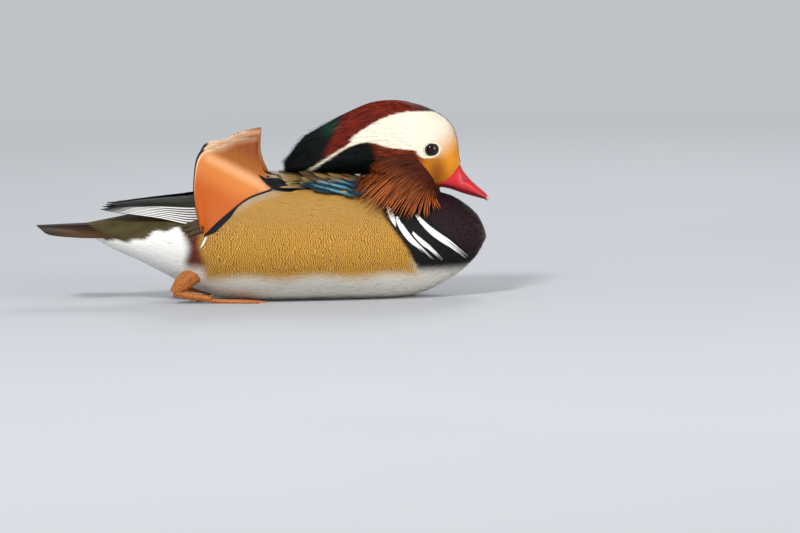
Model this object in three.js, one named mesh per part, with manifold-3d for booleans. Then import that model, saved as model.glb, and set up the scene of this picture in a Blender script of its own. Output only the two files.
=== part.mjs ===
// A drake mandarin duck afloat, at life size, in millimetres.
// X runs from tail to bill, Y to the duck's left and Z up from the level it rests on.

import * as THREE from 'three';
import { mergeVertices } from 'three/addons/utils/BufferGeometryUtils.js';
import Module from 'manifold-3d';

const wasm = await Module();
wasm.setup();

// Driving dimensions
const TAIL_TIP = -176.7;        // x of the longest tail feather's tip
const BILL_TIP = 176.7;         // x of the nail at the bill's tip
const TAIL_CUT = -95;           // x where the tail is parted from the torso
const COVERT_END = -140;        // x where the tail coverts end
const BREAST_FRONT = 173.9;     // x of the breast's foremost point
const CREST_TIP = 17.6;         // x where the crest ends
const CULMEN_BASE = 154.6;      // x where forehead and bill meet
const GAP = 0.3;                // clear space between two nodes that meet
const BED_DEPTH = 7;            // depth of the bed in the back that the wings lie in
const WING_SHELL = 3.4;         // thickness of the folded wing over the back
const VANE = 0.7;               // thickness of a flight feather's vane
const FLOOR_CUT = 400;          // size of the blocks that trim a solid

// A smooth line through a few [place, value] pairs, which never swings past them.
function line(...pairs) {
  const last = pairs.length - 1;
  const rise = [];
  for (let i = 0; i < last; i += 1) {
    rise.push((pairs[i + 1][1] - pairs[i][1]) / (pairs[i + 1][0] - pairs[i][0]));
  }
  const slope = pairs.map((pair, i) => {
    if (i === 0) return rise[0];
    if (i === last) return rise[last - 1];
    if (rise[i - 1] * rise[i] <= 0) return 0;
    return 2 / (1 / rise[i - 1] + 1 / rise[i]);
  });
  return (place) => {
    const at = THREE.MathUtils.clamp(place, pairs[0][0], pairs[last][0]);
    let i = 0;
    while (i < last - 1 && at > pairs[i + 1][0]) i += 1;
    const span = pairs[i + 1][0] - pairs[i][0];
    const t = (at - pairs[i][0]) / span;
    const value = pairs[i][1] * (1 + 2 * t) * (1 - t) ** 2 + pairs[i + 1][1] * t * t * (3 - 2 * t);
    return value + span * (slope[i] * t * (1 - t) ** 2 + slope[i + 1] * t * t * (t - 1));
  };
}

// Body outline from the tail coverts to the breast: back, keel, widest level and half width.
const BODY = {
  from: COVERT_END,
  to: BREAST_FRONT,
  top: line([-140, 61.5], [-112, 66.5], [-95, 70], [-55, 85], [0, 97], [30, 99], [60, 97.5], [90, 92],
    [110, 87], [125, 83.5], [138, 80.5], [146, 78.2], [162.6, 66.9], [169, 59.7], [172.8, 52], [173.9, 46.6]),
  keel: line([-140, 57.5], [-129, 48.3], [-112, 38.7], [-95, 31], [-75, 20], [-55, 10], [-30, 1.5],
    [-5, -1.5], [88, -1.5], [110, 0.5], [130, 6], [150, 17], [162, 27], [170, 37], [173.9, 44]),
  belt: line([-140, 60], [-95, 50], [-55, 46], [0, 44], [60, 43], [120, 43], [160, 44.5], [173.9, 45.4]),
  half: line([-140, 5], [-125, 13], [-110, 19], [-95, 24], [-75, 33], [-55, 42], [-35, 50], [-10, 55.5],
    [25, 58], [50, 57], [75, 53.5], [95, 50], [115, 45], [135, 37.5], [150, 30], [162, 20.5], [170, 11],
    [173.9, 2.5]),
  upper: 1.92,
  lower: 2.05,
};

// Head outline from the crest's tip to the forehead.
const HEAD = {
  from: CREST_TIP,
  to: CULMEN_BASE,
  top: line([17.6, 103], [26.3, 115.3], [33.9, 125], [44.9, 131.6], [66.7, 143.4], [88.7, 151.6],
    [99.6, 152.7], [110.6, 151.9], [121.5, 149.6], [132.4, 145.4], [143.4, 138.4], [149.2, 131.5],
    [152.4, 122], [153.8, 112], [154.6, 105]),
  keel: line([17.6, 100], [50, 99], [80, 98.5], [100, 97], [115, 93.5], [127, 87.5], [138, 83.8],
    [145, 87], [150, 92], [153.4, 98], [154.6, 102]),
  belt: line([17.6, 101.5], [30, 104], [50, 109], [70, 112], [90, 113], [112, 112], [140, 108], [154.6, 103.5]),
  half: line([17.6, 1.6], [25, 5.4], [35, 8.2], [50, 11], [70, 14.6], [90, 17.2], [112, 19.3], [122, 19.5],
    [131, 18.7], [140, 16.2], [148, 12], [152, 8], [154.6, 3]),
  upper: 2.1,
  lower: 2.2,
};

// A point of such an outline at x, at an angle round it from the duck's left side, pushed out by grow.
function skinPoint(form, x, angle, grow = 0) {
  const share = (x - form.from) / (form.to - form.from);
  const c = Math.cos(angle);
  const s = Math.sin(angle);
  const power = 2 / (s > 0 ? form.upper : form.lower);
  const half = Math.max(form.half(x) + grow, 0.4);
  const reach = s > 0 ? form.top(x) - form.belt(x) : form.belt(x) - form.keel(x);
  const rise = Math.max(reach + grow, 0.3);
  return new THREE.Vector3(
    x - grow * Math.cos(Math.PI * THREE.MathUtils.clamp(share, 0, 1)),
    half * Math.sign(c) * Math.abs(c) ** power,
    form.belt(x) + rise * Math.sign(s) * Math.abs(s) ** power,
  );
}

// How far the outline stands out sideways at x and height z.
function sideAt(form, x, z, grow = 0) {
  const above = z > form.belt(x);
  const reach = above ? form.top(x) - form.belt(x) : form.belt(x) - form.keel(x);
  const power = above ? form.upper : form.lower;
  const share = Math.min(Math.abs(z - form.belt(x)) / Math.max(reach + grow, 0.3), 1);
  return (form.half(x) + grow) * (1 - share ** power) ** (1 / power);
}

// The outward direction of the outline at x and an angle.
function skinNormal(form, x, angle) {
  const here = skinPoint(form, x, angle);
  const along = skinPoint(form, x + 0.5, angle).sub(here);
  const round = skinPoint(form, x, angle + 0.02).sub(here);
  return round.cross(along).normalize();
}

// A geometry from points and faces.
function geometryOf(points, faces) {
  const geometry = new THREE.BufferGeometry();
  geometry.setAttribute('position', new THREE.Float32BufferAttribute(points.flatMap((p) => [p.x, p.y, p.z]), 3));
  geometry.setIndex(faces.flat());
  return geometry;
}

// A solid from any closed geometry, turned the right way out.
function solid(geometry) {
  const bare = geometry.clone();
  bare.deleteAttribute('normal');
  bare.deleteAttribute('uv');
  const merged = mergeVertices(bare, 1e-4);
  const vertProperties = new Float32Array(merged.attributes.position.array);
  const faces = Array.from(merged.index.array);
  const build = (triVerts) => new wasm.Manifold(new wasm.Mesh({
    numProp: 3,
    vertProperties,
    triVerts: new Uint32Array(triVerts),
  }));
  const made = build(faces);
  if (made.volume() > 0) return made;
  return build(faces.reverse());
}

// Rings of points joined into a closed skin with a middle point at each end.
function ringLoft(rings) {
  const sides = rings[0].length;
  const points = rings.flat();
  const faces = [];
  for (let i = 0; i < rings.length - 1; i += 1) {
    for (let j = 0; j < sides; j += 1) {
      const k = (j + 1) % sides;
      const a = i * sides + j;
      const b = i * sides + k;
      faces.push([a, a + sides, b], [b, a + sides, b + sides]);
    }
  }
  const middle = (ring) => ring.reduce((sum, p) => sum.add(p), new THREE.Vector3()).divideScalar(sides);
  points.push(middle(rings[0]), middle(rings[rings.length - 1]));
  const start = (rings.length - 1) * sides;
  for (let j = 0; j < sides; j += 1) {
    const k = (j + 1) % sides;
    faces.push([points.length - 2, j, k], [points.length - 1, start + k, start + j]);
  }
  return solid(geometryOf(points, faces));
}

// The whole skin of an outline, pushed out by grow.
function formLoft(form, grow, ringCount, sides) {
  const rings = [];
  for (let i = 0; i <= ringCount; i += 1) {
    const t = 0.5 - 0.5 * Math.cos((Math.PI * i) / ringCount);
    const x = THREE.MathUtils.lerp(form.from, form.to, 0.45 * t + 0.55 * (i / ringCount));
    const ring = [];
    for (let j = 0; j < sides; j += 1) {
      ring.push(skinPoint(form, x, (2 * Math.PI * j) / sides, grow));
    }
    rings.push(ring);
  }
  return ringLoft(rings);
}

// A thin sheet on a grid of { point, normal, half } places, split alike on both faces.
function sheet(grid) {
  const rows = grid.length;
  const columns = grid[0].length;
  const points = [];
  for (const face of [1, -1]) {
    for (const place of grid.flat()) {
      points.push(place.normal.clone().multiplyScalar(face * place.half).add(place.point));
    }
  }
  const under = rows * columns;
  const at = (i, j) => i * columns + j;
  const faces = [];
  for (let i = 0; i < rows - 1; i += 1) {
    for (let j = 0; j < columns - 1; j += 1) {
      const [a, b, c, d] = [at(i, j), at(i + 1, j), at(i + 1, j + 1), at(i, j + 1)];
      faces.push([a, b, c], [a, c, d], [a + under, c + under, b + under], [a + under, d + under, c + under]);
    }
  }
  const wall = (a, b) => faces.push([a, a + under, b + under], [a, b + under, b]);
  for (let i = 0; i < rows - 1; i += 1) {
    wall(at(i, 0), at(i + 1, 0));
    wall(at(i + 1, columns - 1), at(i, columns - 1));
  }
  for (let j = 0; j < columns - 1; j += 1) {
    wall(at(0, j + 1), at(0, j));
    wall(at(rows - 1, j), at(rows - 1, j + 1));
  }
  return solid(geometryOf(points, faces));
}

// A feather's vane along a curve: width(t) is its half width, normals turn from root to tip.
function vane({ path, normals, width, thick = VANE, steps = 5, columns = 2, camber = 0.12, roll = 0 }) {
  const curve = new THREE.CatmullRomCurve3(path);
  const facing = normals.length > 1 ? new THREE.CatmullRomCurve3(normals) : null;
  const grid = [];
  for (let i = 0; i <= steps; i += 1) {
    const t = 1 - (1 - i / steps) ** 1.4;
    const middle = curve.getPoint(t);
    const forward = curve.getTangent(t);
    const up = (facing ? facing.getPoint(t) : normals[0].clone()).normalize();
    up.applyAxisAngle(forward, roll);
    const side = new THREE.Vector3().crossVectors(forward, up).normalize();
    const normal = new THREE.Vector3().crossVectors(side, forward).normalize();
    const half = (thick / 2) * (1 - 0.35 * t);
    const row = [];
    for (let j = 0; j < columns; j += 1) {
      const across = columns === 1 ? 0 : (2 * j) / (columns - 1) - 1;
      const point = middle.clone().addScaledVector(side, across * width(t));
      point.addScaledVector(normal, -camber * width(t) * across * across);
      row.push({ point, normal, half });
    }
    grid.push(row);
  }
  return sheet(grid);
}

// Half width of a broad feather with a rounded tip, and of a narrow pointed lock.
const broad = (half) => (t) => half * Math.max(0.16, Math.min(0.55 + 2.2 * t, 1, (1.04 - t) ** 0.5 * 2));
const pointed = (half) => (t) => half * Math.max(0.1, Math.min(0.5 + 1.6 * t, 1, 2.1 * (1.02 - t)));

// Joins solids into one.
const join = (pieces) => wasm.Manifold.union(pieces);

// The largest closed surface of a solid.
function largest(made) {
  const pieces = made.decompose().sort((a, b) => b.volume() - a.volume());
  return pieces[0];
}

// A box with its middle at a place, turned about Y.
function block(middle, size, turn = 0) {
  const box = new THREE.BoxGeometry(size.x, size.y, size.z);
  box.rotateY(turn);
  box.translate(middle.x, middle.y, middle.z);
  return solid(box);
}

const v = (x, y, z) => new THREE.Vector3(x, y, z);
const BIG = v(FLOOR_CUT, FLOOR_CUT, FLOOR_CUT);
const belowFloor = block(v(0, 0, -FLOOR_CUT / 2), BIG);
const leftHalf = block(v(0, FLOOR_CUT / 2 - GAP / 2, 0), BIG);

// An even, repeatable spread of small differences.
function spread(seed) {
  let state = seed;
  return (amount) => {
    state = (state * 16807) % 2147483647;
    return amount * ((2 * state) / 2147483647 - 1);
  };
}

// The upper edge of the flank feathers, seen from the side: the back's bed lies above it.
const flankEdge = line([-96, 84], [-80, 75], [-62, 64], [-46, 55.5], [-33, 67], [-20, 77.8], [6, 88.3],
  [28, 90.5], [55, 86], [68, 84], [82, 90], [92, 100]);
const BED_FROM = -96;
const BED_TO = 92;
const BED_TOP = 135;

// A block over the bed, seen from the side, drawn in by inset.
function bedBlock(inset, from = BED_FROM, to = BED_TO) {
  const shape = new THREE.Shape();
  const steps = 24;
  for (let i = 0; i <= steps; i += 1) {
    const x = THREE.MathUtils.lerp(from + inset, to - inset, i / steps);
    if (i === 0) shape.moveTo(x, flankEdge(x) + inset);
    else shape.lineTo(x, flankEdge(x) + inset);
  }
  shape.lineTo(to - inset, BED_TOP);
  shape.lineTo(from + inset, BED_TOP);
  const geometry = new THREE.ExtrudeGeometry(shape, { depth: 200, bevelEnabled: false });
  geometry.rotateX(Math.PI / 2);
  geometry.translate(0, 100, 0);
  return solid(geometry);
}

// The body's skin at the levels that the layers over the back keep.
const bodySkins = new Map();
function bodySkin(grow) {
  if (!bodySkins.has(grow)) bodySkins.set(grow, formLoft(BODY, grow, 24, 20));
  return bodySkins.get(grow);
}
const bodyOuter = bodySkin(0);
const bodyClear = bodySkin(GAP);
const bodyInner = bodySkin(-BED_DEPTH);
const headSkin = formLoft(HEAD, 0, 20, 20);
const headClear = formLoft(HEAD, GAP, 20, 20);

// Torso: the body without its tail, with the bed for the wings and flats to rest on.
function torso() {
  const behind = block(v(TAIL_CUT - FLOOR_CUT / 2, 0, 0), BIG);
  return bodyOuter.subtract(bedBlock(0).subtract(bodyInner)).subtract(behind).subtract(belowFloor);
}

// Neck: a short thick column from the breast up to the head.
const NECK = { middle: 110, low: 62, high: 101, length: 29, spread: 6, width: 20, base: 33, sides: 20 };

function neckColumn(grow) {
  const rings = [];
  const steps = 6;
  for (let i = 0; i <= steps; i += 1) {
    const t = i / steps;
    const z = THREE.MathUtils.lerp(NECK.low - grow, NECK.high + grow, t);
    const length = NECK.length + NECK.spread * (1 - t) ** 2 - 6 * t + grow;
    const width = THREE.MathUtils.lerp(NECK.base, NECK.width, t ** 0.7) + grow;
    const ring = [];
    for (let j = 0; j < NECK.sides; j += 1) {
      const angle = (2 * Math.PI * j) / NECK.sides;
      ring.push(v(NECK.middle + length * Math.cos(angle), width * Math.sin(angle), z));
    }
    rings.push(ring);
  }
  return ringLoft(rings);
}

const SCAPULAR_LEVEL = 1.9;     // highest level of the feathers over the back, under the crest
const scapularCeiling = bodySkin(SCAPULAR_LEVEL);
const aboveScapulars = bodySkin(SCAPULAR_LEVEL + GAP);

function neck() {
  return neckColumn(0).subtract(headClear).subtract(aboveScapulars.intersect(bedBlock(0)).add(bodyClear));
}

// The plane that parts crest from head leans back from the crown to the nape.
const CREST_CUT = { x: 92, z: 124, lean: Math.atan2(40, 56) };
const crestBehind = block(
  v(CREST_CUT.x - (FLOOR_CUT / 2) * Math.cos(CREST_CUT.lean), 0, CREST_CUT.z + (FLOOR_CUT / 2) * Math.sin(CREST_CUT.lean)),
  BIG,
  CREST_CUT.lean,
);
const crestBehindClear = block(
  v(
    CREST_CUT.x - (FLOOR_CUT / 2 - GAP) * Math.cos(CREST_CUT.lean),
    0,
    CREST_CUT.z + (FLOOR_CUT / 2 - GAP) * Math.sin(CREST_CUT.lean),
  ),
  BIG,
  CREST_CUT.lean,
);

// Eyes sit in sockets with a raised lid round each.
const EYE = { x: 131.7, z: 115, radius: 6.4, proud: 1.5, lidTube: 1, lidLong: 6, lidHigh: 4.8 };
const eyeSide = sideAt(HEAD, EYE.x, EYE.z);
const eyeMiddle = (side) => v(EYE.x, side * (eyeSide + EYE.proud - EYE.radius), EYE.z);

function eyeBall(side, grow) {
  const ball = new THREE.SphereGeometry(EYE.radius + grow, 14, 8);
  const middle = eyeMiddle(side);
  ball.translate(middle.x, middle.y, middle.z);
  return solid(ball);
}

function eyeLids(side) {
  const ring = new THREE.TorusGeometry(1, EYE.lidTube / EYE.lidLong, 5, 16);
  ring.scale(EYE.lidLong, EYE.lidHigh, EYE.lidLong);
  ring.rotateX(Math.PI / 2);
  ring.rotateZ(-side * 0.38);
  ring.translate(EYE.x, side * (eyeSide + 0.1), EYE.z);
  return solid(ring);
}

// Bill: an upper half down to the mouth line, with nail and nostrils, and a lower half.
const BILL = {
  from: 136,
  lowerTip: 173.4,
  culmen: line([136, 104], [150, 103.5], [153.5, 102.4], [156.4, 96.9], [162.9, 88.9], [168.6, 83.6],
    [174.3, 78.4], [176.2, 75.4], [176.7, 73.6]),
  mouth: line([136, 87.8], [142, 86.8], [157, 82.2], [172, 76.4], [176.7, 73.4]),
  under: line([136, 85], [142, 84.2], [157, 79.2], [169, 75.6], [173.6, 74.4]),
  half: line([136, 10.8], [150, 9.8], [157, 8.4], [165, 7.2], [172, 6.2], [175.4, 4.4], [176.7, 1.6]),
};

// One half of the bill: its flat side lies on the mouth line and its other side is round.
function billLoft(to, flat, round, narrower) {
  const rings = [];
  const steps = 10;
  const sides = 14;
  for (let i = 0; i <= steps; i += 1) {
    const x = THREE.MathUtils.lerp(BILL.from, to, Math.sin((Math.PI * i) / (2 * steps)));
    const half = BILL.half(x) - narrower;
    const height = round(x) - flat(x);
    const ring = [];
    for (let j = 0; j < sides; j += 1) {
      const angle = (2 * Math.PI * j) / sides;
      const s = Math.sin(angle);
      const rise = s > 0 ? height * s : 0.02 * height * s;
      ring.push(v(x, Math.sign(height) * half * Math.cos(angle), flat(x) + rise));
    }
    rings.push(ring);
  }
  return ringLoft(rings);
}

const NAIL = { x: BILL_TIP - 3.6, z: 76.8, long: 4.2, wide: 3.4, thick: 2.2, lean: 0.9 };

function billNail(grow) {
  const nail = new THREE.SphereGeometry(1, 10, 6);
  nail.scale(NAIL.long + grow, NAIL.wide + grow, NAIL.thick + grow);
  nail.rotateY(NAIL.lean);
  nail.translate(NAIL.x, 0, NAIL.z);
  return solid(nail);
}

const NOSTRIL = { x: 157.6, z: 90.4, y: 6.6, long: 2.7, deep: 1.6, high: 1.3, lean: 0.85 };

function nostril(side) {
  const pit = new THREE.SphereGeometry(1, 8, 6);
  pit.scale(NOSTRIL.long, NOSTRIL.deep, NOSTRIL.high);
  pit.rotateY(NOSTRIL.lean);
  pit.translate(NOSTRIL.x, side * NOSTRIL.y, NOSTRIL.z);
  return solid(pit);
}

function billUpper() {
  const body = billLoft(BILL_TIP, BILL.mouth, BILL.culmen, 0);
  return body.add(billNail(0)).subtract(join([nostril(-1), nostril(1)])).subtract(headClear);
}

function billLower() {
  const roof = (x) => BILL.mouth(x) - GAP - 0.2;
  return billLoft(BILL.lowerTip, roof, BILL.under, 0.9).subtract(billNail(GAP)).subtract(headClear);
}

// Head: everything in front of the crest, with eye sockets and lids.
function head() {
  const sockets = join([eyeBall(-1, GAP), eyeBall(1, GAP)]);
  const lids = join([eyeLids(-1), eyeLids(1)]);
  return headSkin.subtract(crestBehindClear).add(lids).subtract(sockets).subtract(bodyClear);
}


// Crest: the rear of the hood, with tiers of flat locks that sweep back over it.
const CREST_TIERS = [
  { from: 118, to: 74, count: 4, low: 0.16, half: 4.4 },
  { from: 94, to: 50, count: 5, low: 0.04, half: 4.2 },
  { from: 70, to: 30, count: 5, low: 0, half: 3.6 },
  { from: 52, to: 19, count: 5, low: -0.02, half: 2.6 },
];

function crest() {
  const random = spread(11);
  const locks = [];
  for (const tier of CREST_TIERS) {
    for (let i = 0; i < tier.count; i += 1) {
      const share = (i + 0.5) / tier.count;
      const angle = Math.PI * THREE.MathUtils.lerp(tier.low, 1 - tier.low, share);
      const end = tier.to + random(2.5);
      const path = [];
      const normals = [];
      for (const [t, lift] of [[0, -1.6], [0.35, 0.5], [0.7, 0.9], [1, 1.7]]) {
        const x = THREE.MathUtils.lerp(tier.from, end, t);
        path.push(skinPoint(HEAD, x, angle, lift));
        normals.push(skinNormal(HEAD, x, angle));
      }
      locks.push(vane({ path, normals, width: pointed(tier.half), thick: 1, steps: 3, roll: 0.2 }));
    }
  }
  return join([headSkin, ...locks]).intersect(crestBehind).subtract(aboveScapulars);
}

// Ruff: pointed hackles that leave a line behind eye and gape, sweep back and bend down over neck
// and breast. A place on it is q, from the rear hackle to the front one, and s, from root to tip.
const RUFF = { base: 0.6, rows: 4, columns: 6, swell: 3.5, clear: 3.6, front: 19 };
const ruffRoot = { x: line([0, 118], [0.2, 123], [0.6, 131], [1, 136]), z: line([0, 111], [1, 85]) };
const ruffTip = {
  x: line([0, 73], [0.2, 71.5], [0.4, 83.6], [0.6, 98], [0.75, 111], [0.88, 125], [1, 140]),
  z: line([0, 91], [0.2, 80], [0.4, 70], [0.6, 64.4], [0.75, 62.8], [0.88, 63.4], [1, 70]),
};
const ruffBend = { x: line([0, -31], [1, -4]), z: line([0, 4], [1, -6]) };

function ruffPoint(q, s, lift = 0) {
  const root = { x: ruffRoot.x(q), z: ruffRoot.z(q) };
  const tip = { x: ruffTip.x(q), z: ruffTip.z(q) };
  const bend = { x: root.x + ruffBend.x(q), z: root.z + ruffBend.z(q) };
  const along = (a, b, c) => a * (1 - s) ** 2 + 2 * b * s * (1 - s) + c * s * s;
  const inner = sideAt(HEAD, root.x, root.z) + 0.2;
  const outer = Math.max(sideAt(BODY, tip.x, tip.z) + RUFF.clear, RUFF.front);
  const swell = RUFF.swell * Math.sin(Math.PI * Math.min(s, 1));
  const y = THREE.MathUtils.lerp(inner, outer, Math.max(s, 0) ** 1.15) + swell + lift;
  return v(along(root.x, bend.x, tip.x), -y, along(root.z, bend.z, tip.z));
}

function ruffNormal(q, s) {
  const here = ruffPoint(q, s);
  const down = ruffPoint(q, s + 0.03).sub(here);
  const round = ruffPoint(q + 0.01, s).sub(here);
  return down.cross(round).normalize();
}

const RUFF_TIERS = [
  { root: 0.04, tip: 0.62, count: 4 },
  { root: 0.34, tip: 0.84, count: 5 },
  { root: 0.54, tip: 1, count: 8 },
];

function ruff() {
  const random = spread(7);
  const grid = [];
  for (let i = 0; i <= RUFF.rows; i += 1) {
    const row = [];
    for (let j = 0; j <= RUFF.columns; j += 1) {
      const q = THREE.MathUtils.lerp(0.02, 0.98, j / RUFF.columns);
      const s = (RUFF.base * i) / RUFF.rows;
      row.push({ point: ruffPoint(q, s, -0.6), normal: ruffNormal(q, s), half: 0.6 });
    }
    grid.push(row);
  }
  const pieces = [sheet(grid)];
  for (const tier of RUFF_TIERS) {
    for (let i = 0; i < tier.count; i += 1) {
      const q = THREE.MathUtils.clamp((i + 0.5) / tier.count + random(0.01), 0.01, 0.99);
      const tip = tier.tip + random(0.03);
      const path = [];
      const normals = [];
      for (const [t, lift] of [[0, -0.7], [0.4, 0.2], [0.75, 0.7], [1, 1]]) {
        const s = THREE.MathUtils.lerp(tier.root, tip, t);
        path.push(ruffPoint(q, s, lift));
        normals.push(ruffNormal(q, s));
      }
      const half = 1.8 + 1.8 * tier.tip;
      pieces.push(vane({ path, normals, width: pointed(half), thick: 0.9, steps: 3, roll: 0.22 }));
    }
  }
  return join(pieces).subtract(headClear).subtract(aboveScapulars).subtract(neckColumn(GAP));
}

// A shell over the back's bed between two levels under the body's skin.
function bedShell(low, high, inset, from = BED_FROM, to = BED_TO) {
  const layer = bodySkin(high).intersect(bedBlock(inset, from, to)).subtract(bodySkin(low));
  return layer.subtract(leftHalf);
}

// Wing: a folded shell with its flight feathers in one closed fan over the rump.
const WING = { rootX: -26, middleX: -72, count: 7 };
const wingLow = -BED_DEPTH + GAP;
const wingHigh = wingLow + WING_SHELL;

function flightFeather(i, grow = 0) {
  const share = i / (WING.count - 1);
  const rootZ = THREE.MathUtils.lerp(67, 87, share);
  const path = [
    v(WING.rootX, -sideAt(BODY, WING.rootX, rootZ, (wingLow + wingHigh) / 2), rootZ),
    v(-52, -THREE.MathUtils.lerp(34, 24, share), THREE.MathUtils.lerp(67.5, 86, share)),
    v(WING.middleX - 6, -THREE.MathUtils.lerp(25, 16, share), THREE.MathUtils.lerp(70, 85.5, share)),
    v(TAIL_TIP + 51 + 7.6 * i, -THREE.MathUtils.lerp(14, 8, share), 74 + 10.5 * share ** 0.7),
  ];
  const normals = [v(0, -0.85, 0.5), v(0, -0.72, 0.7), v(0, -0.62, 0.78), v(0, -0.42, 0.9)];
  return vane({ path, normals, width: broad(5.4 + grow), thick: VANE + 2 * grow, steps: 5 });
}

function wing() {
  const pieces = [bedShell(wingLow, wingHigh, 0.45, -70, 76)];
  for (let i = 0; i < WING.count; i += 1) pieces.push(flightFeather(i));
  return join(pieces)
    .subtract(bodyClear.subtract(bedBlock(0)).add(bodySkin(wingLow)))
    .subtract(leftHalf);
}

// Scapulars: the feathers over the back between neck and sail, in rows on a thin base.
const SCAPULAR_ROWS = [
  { root: 74, tip: 38, count: 2, lift: 1.2, low: 62 },
  { root: 50, tip: 14, count: 3, lift: 1.4, low: 60 },
  { root: 30, tip: -12, count: 4, lift: 4.5, low: 60 },
];
const scapularLow = wingHigh + GAP;

function scapulars() {
  const pieces = [bedShell(scapularLow, -0.4, 0.45, 6, 80)];
  for (const row of SCAPULAR_ROWS) {
    for (let i = 0; i < row.count; i += 1) {
      const angle = -THREE.MathUtils.degToRad(THREE.MathUtils.lerp(row.low, 84, (i + 0.5) / row.count));
      const path = [];
      const normals = [];
      for (const [t, lift] of [[0, -1.6], [0.4, 0.3], [0.75, 0.5 * row.lift], [1, row.lift]]) {
        const x = THREE.MathUtils.lerp(row.root, row.tip, t);
        const place = skinPoint(BODY, x, -angle, lift);
        path.push(v(place.x, -place.y, place.z));
        const normal = skinNormal(BODY, x, -angle);
        normals.push(v(normal.x, -normal.y, normal.z));
      }
      pieces.push(vane({ path, normals, width: broad(6.5), thick: VANE, steps: 3 }));
    }
  }
  const underCrest = block(v(13 + FLOOR_CUT / 2, 0, 0), BIG).subtract(scapularCeiling);
  return join(pieces)
    .subtract(underCrest)
    .subtract(bodySkin(scapularLow))
    .subtract(bodyClear.subtract(bedBlock(0)))
    .subtract(neckColumn(GAP))
    .subtract(leftHalf);
}

// Sail: the broad inner vane of one wing feather, which stands up from the flank's upper edge.
const SAIL = { sink: 6, dish: 4, thick: 0.8 };
const sailShaft = {
  x: line([0, 8], [0.35, -9], [0.7, -28], [1, -45]),
  z: line([0, 88], [0.35, 82.5], [0.7, 69], [1, 54]),
};
const sailEdge = {
  x: line([0, -2], [0.3, -19], [0.5, -31], [0.62, -45], [0.76, -53], [0.88, -55.5], [1, -49]),
  y: line([0, 47], [0.3, 41], [0.62, 37], [0.88, 42], [1, 46]),
  z: line([0, 130], [0.3, 128], [0.5, 122.5], [0.62, 121], [0.76, 112], [0.88, 88], [1, 58]),
};

function sailPoint(u, share) {
  const x = sailShaft.x(u);
  const z = sailShaft.z(u);
  const base = v(x, -sideAt(BODY, x, z) - 0.5, z);
  const edge = v(sailEdge.x(u), -sailEdge.y(u), sailEdge.z(u));
  const point = base.clone().lerp(edge, Math.max(share, 0));
  point.y += SAIL.dish * Math.sin(Math.PI * Math.max(share, 0));
  if (share < 0) point.add(v(0, SAIL.sink * 0.7, -SAIL.sink * 0.7));
  return point;
}

function sail() {
  const grid = [];
  const rows = 10;
  const columns = 5;
  for (let i = 0; i <= rows; i += 1) {
    const row = [];
    for (let j = 0; j <= columns; j += 1) {
      const u = i / rows;
      const share = j === 0 ? -1 : (j - 1) / (columns - 1);
      const point = sailPoint(u, share);
      const across = sailPoint(u, Math.max(share, 0) + 0.05).sub(sailPoint(u, Math.max(share, 0)));
      const along = sailPoint(Math.min(u + 0.02, 1), 0.5).sub(sailPoint(Math.max(u - 0.02, 0), 0.5));
      row.push({ point, normal: along.cross(across).normalize(), half: SAIL.thick / 2 });
    }
    grid.push(row);
  }
  const flank = bodyClear.subtract(bedBlock(0));
  const feathers = [];
  for (let i = 0; i < WING.count; i += 1) feathers.push(flightFeather(i, GAP));
  return sheet(grid).subtract(flank).subtract(bodySkin(wingHigh + GAP)).subtract(join(feathers));
}

// Tail: the coverts' cone with fourteen tail feathers fanned in a low roof.
const TAIL = { pairs: 6, rootX: -98, half: 6.4 };

function tail() {
  const ahead = block(v(TAIL_CUT - GAP + FLOOR_CUT / 2, 0, 0), BIG);
  const pieces = [bodyOuter.subtract(ahead)];
  for (let i = 0; i < TAIL.pairs; i += 1) {
    for (const side of [-1, 1]) {
      const out = i + 0.5;
      const path = [
        v(TAIL.rootX - 4, side * (0.8 + 1.1 * out), 63 - 1.5 * out),
        v(-128, side * (1 + 1.9 * out), 62.6 - 1.4 * out),
        v(TAIL_TIP + 1.4 * i, side * (0.4 + 3.1 * out), 61 - 0.75 * out),
      ];
      const tilt = 0.05 + 0.085 * out;
      const normals = [v(0, side * Math.sin(tilt), Math.cos(tilt))];
      pieces.push(vane({ path, normals, width: broad(TAIL.half), thick: 0.8, steps: 3, roll: -side * 0.06 }));
    }
  }
  return join(pieces).subtract(ahead);
}

// Legs and feet lie folded under the rear of the belly.
const FOOT = { ballX: -38, side: -31, toe: 2.9, web: 1.3, heelX: -70, heelZ: 8.5 };

function rod(points, radius, steps, sides) {
  const curve = new THREE.CatmullRomCurve3(points);
  const rings = [];
  for (let i = 0; i <= steps; i += 1) {
    const t = i / steps;
    const middle = curve.getPoint(t);
    const forward = curve.getTangent(t);
    const across = new THREE.Vector3().crossVectors(forward, v(0, 0, 1)).normalize();
    const up = new THREE.Vector3().crossVectors(across, forward).normalize();
    const ring = [];
    for (let j = 0; j < sides; j += 1) {
      const angle = (2 * Math.PI * j) / sides;
      const point = middle.clone().addScaledVector(across, radius(t) * Math.cos(angle));
      ring.push(point.addScaledVector(up, radius(t) * Math.sin(angle)));
    }
    rings.push(ring);
  }
  return ringLoft(rings);
}

function legRods(grow) {
  const heel = v(FOOT.heelX, FOOT.side, FOOT.heelZ);
  const shankPath = [v(FOOT.ballX - 3 + grow, FOOT.side, 3.4), v(-54, FOOT.side, 5.4), heel];
  const thighPath = [heel, v(-64, -30, 15), v(-50, -27, 26)];
  const shank = rod(shankPath, line([0, 2.4 + grow], [1, 3.2 + grow]), 3, 8);
  return shank.add(rod(thighPath, line([0, 3.6 + grow], [0.5, 6 + grow], [1, 9 + grow]), 4, 10));
}

function leg() {
  return legRods(0).subtract(bodyClear).subtract(belowFloor);
}

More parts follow.
